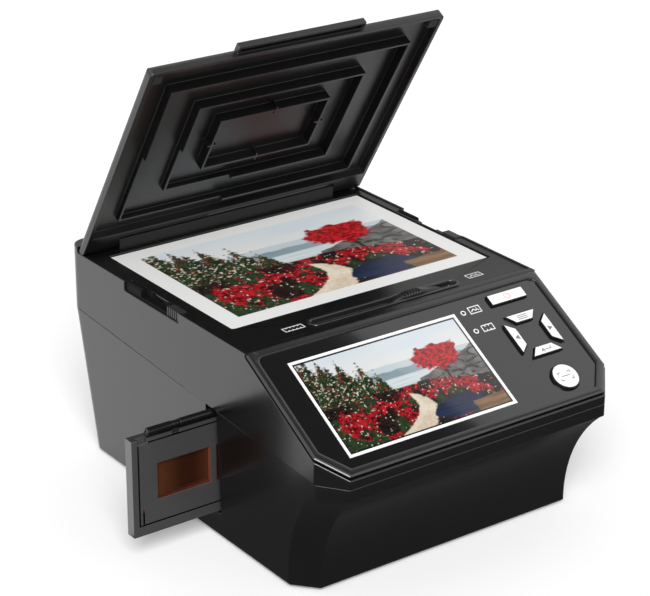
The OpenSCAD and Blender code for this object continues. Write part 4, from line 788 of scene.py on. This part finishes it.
def addPanelFrame():
    # rings of the plan, each at its own inset and height: the outer edge is a quarter of an ellipse, and the
    # rear corners' radius grows inwards
    f = panelFrame
    t = np.radians(np.linspace(0, 90, 9))
    line = np.column_stack([f["outer"] + f["edge"] * (1 - np.cos(t)), -f["drop"] * (1 - np.sin(t))])
    inner = rounded([(f["inner"] - 1, 0), (f["inner"], 0), (f["inner"], f["low"])], f["innerEdge"], 4)
    profile = np.concatenate([[(f["outer"], f["low"])], line, inner[1:]])
    grow = np.clip((profile[:, 0] - f["outer"]) / (f["inner"] - f["outer"]), 0, 1)
    small, large = f["rearRound"]
    rings = [panelRing(inset, small + (large - small) * g, 9) for inset, g in zip(profile[:, 0], grow)]
    points, faces = ringSkin(rings, profile[:, 1], loop=True)
    addPiece("panelSurround", onPanel(points), faces, frameAbs, rootBody, ("panel_frame",),
             angle=50)
    # painted shade: a dark ring in the gap under the rim, where it is in shadow
    out, back = f["outer"] + f["gap"][0], f["outer"] + f["gap"][1]
    skirt = [(out, f["low"]), (out, -f["drop"]), (back, -f["drop"]), (back, f["low"])]
    points, faces = ringSkin([panelRing(i, small, 5) for i, _ in skirt], [h for _, h in skirt], loop=True)
    addPiece("panelGapShade", onPanel(points), faces, gapShadow, rootBody)


addPanelFrame()

keys = {
    "power": {"shape": "bar", "x": 70.5, "y": -11.5, "size": (25.4, 7.2), "flange": 1.4},
    **{name: {"shape": "wedge", "turn": turn, "flange": 0.75}
       for name, turn in (("menu", 180), ("left", 270), ("right", 90), ("enter", 0))},
    "scan": {"shape": "disc", "x": 70.5, "y": -71.3, "radius": 8.5, "flange": 1.4},
}
cross = {"x": 70.5, "y": -39.3, "inner": 9.0, "outer": 15.0, "halfInner": 5.8, "halfOuter": 10.8}
# a key's skin as (inset, height): a flange under the overlay, a black body, and a white top inside its rim
keySkin = {"flange": (-5.7, -4.7), "edge": [(0, 0.3), (0.04, 0.42), (0.12, 0.46)],
           "top": [(0, 0.4), (0, 0.5), (0.06, 0.57), (0.22, 0.6)],
           "rim": {"disc": 0.7, "bar": 0.42, "wedge": 0.42}, "corner": {"bar": 0.6, "wedge": 0.5}}


def keyForm(key, profile):
    # the key's outline in rings along a profile of (inset, height)
    if key["shape"] == "disc":
        turn = np.linspace(0, 2 * math.pi, 72, endpoint=False)
        rings = [np.column_stack([key["x"] + (key["radius"] - i) * np.cos(turn),
                                  key["y"] + (key["radius"] - i) * np.sin(turn)]) for i, _ in profile]
        return ringSkin(rings, [h for _, h in profile])
    corner = keySkin["corner"][key["shape"]]
    if key["shape"] == "bar":
        return profiled(rectangle(key["x"], key["y"], *key["size"]), corner, profile)
    wedge = np.array([(-cross["halfOuter"], -cross["outer"]), (cross["halfOuter"], -cross["outer"]),
                      (cross["halfInner"], -cross["inner"]), (-cross["halfInner"], -cross["inner"])])
    t = math.radians(key["turn"])
    wedge = wedge @ np.array([[math.cos(t), math.sin(t)], [-math.sin(t), math.cos(t)]])
    return profiled(wedge + (cross["x"], cross["y"]), corner, profile)


def addKeys():
    low, high = keySkin["flange"]
    for name, key in keys.items():
        out, rim = -key["flange"], keySkin["rim"][key["shape"]]
        points, faces = keyForm(key, [(out, low), (out, high), (0, high)] + keySkin["edge"])
        addPiece(name + "KeyBody", onPanel(points), faces, keySideAbs, name + "_key",
                 (name + "_button",))
        points, faces = keyForm(key, [(rim + inset, h) for inset, h in keySkin["top"]])
        addPiece(name + "KeyTop", onPanel(points), faces, keycapAbs, name + "_key")


addKeys()

# printed signs in mm: a line is (width, lower height, upper height) and a sign is (x, y, width, height)
marks = {
    "onKeys": {"line": (0.5, 0.58, 0.63), "thin": 0.4},
    "onPanel": {"line": (0.55, -1.22, -1.14), "picture": (46.6, -13.2, 7.6, 4.4),
                "film": (46.9, -26.6, 8.2, 4.0)},
    "lamps": {"line": (0.66, -1.22, -1.14), "at": [(38.4, -13.4), (38.4, -26.8)], "ring": 1.32, "disc": 0.98,
              "sunk": 0.03},
    "onDeck": {"line": (0.55, 0.0, 0.06), "picture": (67.6, -44.4, 10.0, 4.6),
               "film": (-59, -45.7, 13.0, 4.4)},
    "onWall": {"line": (0.7, 0.0, 0.08), "bar": [(14.3, 80.6), (14.3, 84.6)],
               "corner": [(16.2, 80.8), (19.6, 80.8), (16.8, 83.4)]},
}


def pictureSign(x, y, w, h, line, low, high):
    # a framed hill and sun
    border = stroke(rectangle(x, y, w, h), line, low, high, closed=True)
    hill = stroke([(x - w * 0.36, y - h * 0.22), (x - w * 0.12, y + h * 0.12), (x + w * 0.06, y - h * 0.14),
                   (x + w * 0.2, y + h * 0.02), (x + w * 0.36, y - h * 0.22)], line, low, high)
    sun = platelet(arc((x + w * 0.2, y + h * 0.22), line * 0.6, 0, 330, 12), low, high, 0.01)
    return [border, hill, sun]


def filmSign(x, y, w, h, line, low, high):
    # a strip of film: two edges, end bars and square holes between, about 2.4 mm apart
    ends = [[(x - w / 2, y + s * h / 2), (x + w / 2, y + s * h / 2)] for s in (-1, 1)]
    count = int(round(w / 2.4))
    for k in range(count + 1):
        at = x - w / 2 + line / 2 + (w - line) * k / count
        if k in (0, count):
            ends.append([(at, y - h / 2), (at, y + h / 2)])
        else:
            ends += [[(at, y + s * h * 0.46), (at, y + s * h * 0.22)] for s in (-1, 1)]
    return [stroke(path, line, low, high) for path in ends]


def addForms(name, forms, material, body, place=onPanel, angle=35):
    points, faces = joined(forms)
    addPiece(name, place(points), faces, material, body, angle=angle)


def about(centre, points):
    return [(centre[0] + x, centre[1] + y) for x, y in points]


def addKeyMarks():
    # ring and bar, three lines, return arrow, two arrowheads, and a frame with a scanning line
    width, low, high = marks["onKeys"]["line"]
    thin = marks["onKeys"]["thin"]
    power, scan, middle = ((k["x"], k["y"]) for k in (keys["power"], keys["scan"], cross))

    def line(centre, path, wide=width):
        return stroke(about(centre, path), wide, low, high)

    signs = {
        "power": [stroke(arc(power, 1.9, 120, 420, 30), thin, low, high),
                  line(power, [(0, 0.6), (0, 2.6)], thin)],
        "menu": [line(middle, [(-3.5, y), (3.5, y)]) for y in (13.1, 11.9, 10.7)],
        "enter": [line(middle, [(3.5, -10.6), (3.5, -12.4), (-2.9, -12.4)]),
                  line(middle, [(-1.3, -11.2), (-3.1, -12.4), (-1.3, -13.6)])],
        "left": [platelet(about(middle, [(-10.6, -1.7), (-10.6, 1.7), (-13.6, 0)]), low, high)],
        "right": [platelet(about(middle, [(10.6, 1.7), (10.6, -1.7), (13.6, 0)]), low, high)],
        "scan": [line(scan, [(sx * 2.5, sy * 2.7), (sx * 4.2, sy * 2.7), (sx * 4.2, sy * 1.3)])
                 for sx in (-1, 1) for sy in (-1, 1)] + [line(scan, [(-2.9, 0), (2.9, 0)])],
    }
    for name, forms in signs.items():
        ink = inkRed if name == "power" else inkGrey
        addForms(name + "Mark", forms, ink, name + "_key")


def addPanelMarks():
    # indicator rings with their small signs: a picture above, a strip of film below
    m, lamp = marks["onPanel"], marks["lamps"]
    low, high = lamp["line"][1:]
    rings = [stroke(arc(at, lamp["ring"], 0, 352, 45), *lamp["line"], closed=True) for at in lamp["at"]]
    high -= lamp["sunk"]
    centres = [platelet(arc(at, lamp["disc"], 0, 345, 24), low, high, 0.01) for at in lamp["at"]]
    addForms("indicatorRings", rings, inkWhite, rootBody)
    addForms("indicatorCentres", centres, inkDark, rootBody)
    signs = pictureSign(*m["picture"], *m["line"]) + filmSign(*m["film"], *m["line"])
    addForms("indicatorSigns", signs, inkWhite, rootBody)


def addBodyMarks():
    # deck signs at the ends of the selector's groove, and alignment marks above the film slot
    m = marks["onDeck"]
    signs = filmSign(*m["film"], *m["line"]) + pictureSign(*m["picture"], *m["line"])
    addForms("deckSigns", signs, inkWhite, rootBody, onDeck)
    m = marks["onWall"]
    signs = [stroke(m["bar"], *m["line"]), platelet(m["corner"], *m["line"][1:], 0.05)]
    addForms("slotMarks", signs, inkDark, rootBody, onWall)


addKeyMarks()
addPanelMarks()
addBodyMarks()
print("keys and signs made")


# selector knob: boat-shaped, higher and ribbed towards its left end; in mm, places along it from its middle

knob = {"x": 24.5, "y": -46.6, "half": 17.9, "width": 2.88, "low": 121.95, "ends": (124.9, 125.1),
        "crest": 127.25, "crestAt": -3.5, "crestReach": 9.5, "pitch": 1.9, "groove": 0.85,
        "ribbed": (-11.0, 1.2), "barHalf": 2.15, "barLine": 0.8, "barDeep": 1.0, "barAbove": 0.3,
        "plan": (3.2, 0.55), "section": (0.55, 0.6), "tips": 6, "least": 0.02, "fade": 0.8}


def addKnob():
    # rounded cross-sections carried along the length: width falls off as a boat's plan, the top rises to a
    # crest left of the middle, and cosine grooves cross the crest
    k = knob
    s = k["half"] * np.sin(np.linspace(-math.pi / 2, math.pi / 2, 260))
    around = np.linspace(0, 2 * math.pi, 36, endpoint=False)
    power, root = k["plan"]
    width = k["width"] * np.maximum(1 - np.abs(s / k["half"]) ** power, 0) ** root + k["least"]
    crest = np.exp(-np.abs((s - k["crestAt"]) / k["crestReach"]) ** 3)
    ends = np.interp(s, (-k["half"], k["half"]), k["ends"])
    top = ends + (k["crest"] - ends) * crest
    first, last = k["ribbed"]
    inRibs = np.clip(np.minimum(s - first, last - s) / k["fade"], 0, 1)
    top = top - k["groove"] * inRibs * np.clip(0.5 + 1.1 * np.cos(2 * math.pi * s / k["pitch"]), 0, 1)
    fall = np.maximum(1 - np.abs(s / k["half"]) ** k["tips"], 0) ** 0.5
    top = k["low"] + (top - k["low"]) * fall + k["least"]
    cosine, sine = np.cos(around), np.sin(around)
    y = k["y"] + width[:, None] * np.sign(cosine) * np.abs(cosine) ** k["section"][0]
    middle, half = (k["low"] + top) / 2, (top - k["low"]) / 2
    z = middle[:, None] + half[:, None] * np.sign(sine) * np.abs(sine) ** k["section"][1]
    x = np.broadcast_to(k["x"] + s[:, None], y.shape)
    # around goes from +y up and over, so the rows run along +x with faces outwards when reversed
    points = np.stack([x, y, z], -1)[::-1].reshape(-1, 3)
    # painted shade: a dark bar lies in each groove, where it is in shadow
    grooveShades = []
    for along in (k["pitch"] * i for i in range(-8, 3)):
        if first + 0.6 < along < last:
            high = k["low"] + np.interp(along, s, top - k["low"]) + k["barAbove"]
            line = [(k["x"] + along, k["y"] + end) for end in (-k["barHalf"], k["barHalf"])]
            grooveShades.append(stroke(line, k["barLine"], high - k["barDeep"], high))
    addForms("knobGrooveShade", grooveShades, gapShadow, "selector", np.asarray)
    addPiece("selectorKnob", points, skinFaces(*y.shape), knobAbs, "selector",
             ("selector_knob",), angle=60)


addKnob()


# film holder: the light through the film is painted in amber on the inside of each window, brightest on its
# right-hand face, and its shade in brown

windowPaint = {"windows": 4, "first": -118.7, "pitch": 38.0, "z": 46.95, "size": (34.0, 21.6), "front": 27.0,
         "back": 24.55, "wall": 0.12, "lip": 0.05, "corner": 0.2, "litWall": 0.1, "litShort": 0.6,
         "litBetween": (0.5, 0.1)}


def addWindowPaint():
    forms, bright = [], []
    w, h = windowPaint["size"]
    back, front, wall = windowPaint["back"], windowPaint["front"], windowPaint["wall"]
    for k in range(windowPaint["windows"]):
        x, z = windowPaint["first"] + k * windowPaint["pitch"], windowPaint["z"]
        profile = [(0, back), (0, front), (wall, front - windowPaint["lip"]), (wall, back)]
        forms.append(profiled(rectangle(x, z, w, h), windowPaint["corner"], profile, 3, loop=True))
        side = rectangle(x + w / 2 - wall, z, windowPaint["litWall"], h - windowPaint["litShort"])
        bright.append(platelet(side, back + windowPaint["litBetween"][0], front - windowPaint["litBetween"][1], 0.03))
    # painted shade over each window's inside, and a painted strip of light on its right-hand face
    addForms("paintedWindowShade", forms, filmShade, "film_holder", onFront, angle=30)
    addForms("paintedWindowLight", bright, filmGlow, "film_holder", onFront, angle=30)


addWindowPaint()

# painted shadow: the shade in the open joint between the holder's leaves, drawn as a dark line left of the
# cover, below it and over it
jointShade = {"left": -147.5, "right": 24.1, "low": 22.8, "high": 71.4, "line": 0.9, "face": (27.0, 27.22),
         "foot": [(-145.0, 23.4), (-145.0, 30.5)], "footLine": 1.0, "over": [(-141.4, 72.0), (18.0, 72.0)]}


def addJointShade():
    j = jointShade
    path = [(j["left"], j["high"]), (j["left"], j["low"]), (j["right"], j["low"]), (j["right"], j["high"])]
    forms = [stroke(line, width, *j["face"]) for line, width in
             ((path, j["line"]), (j["foot"], j["footLine"]), (j["over"], j["line"]))]
    # painted shadow along the joint
    addForms("holderJointShade", forms, gapShadow, "film_holder", onFront)


addJointShade()
print("knob and window liners made")
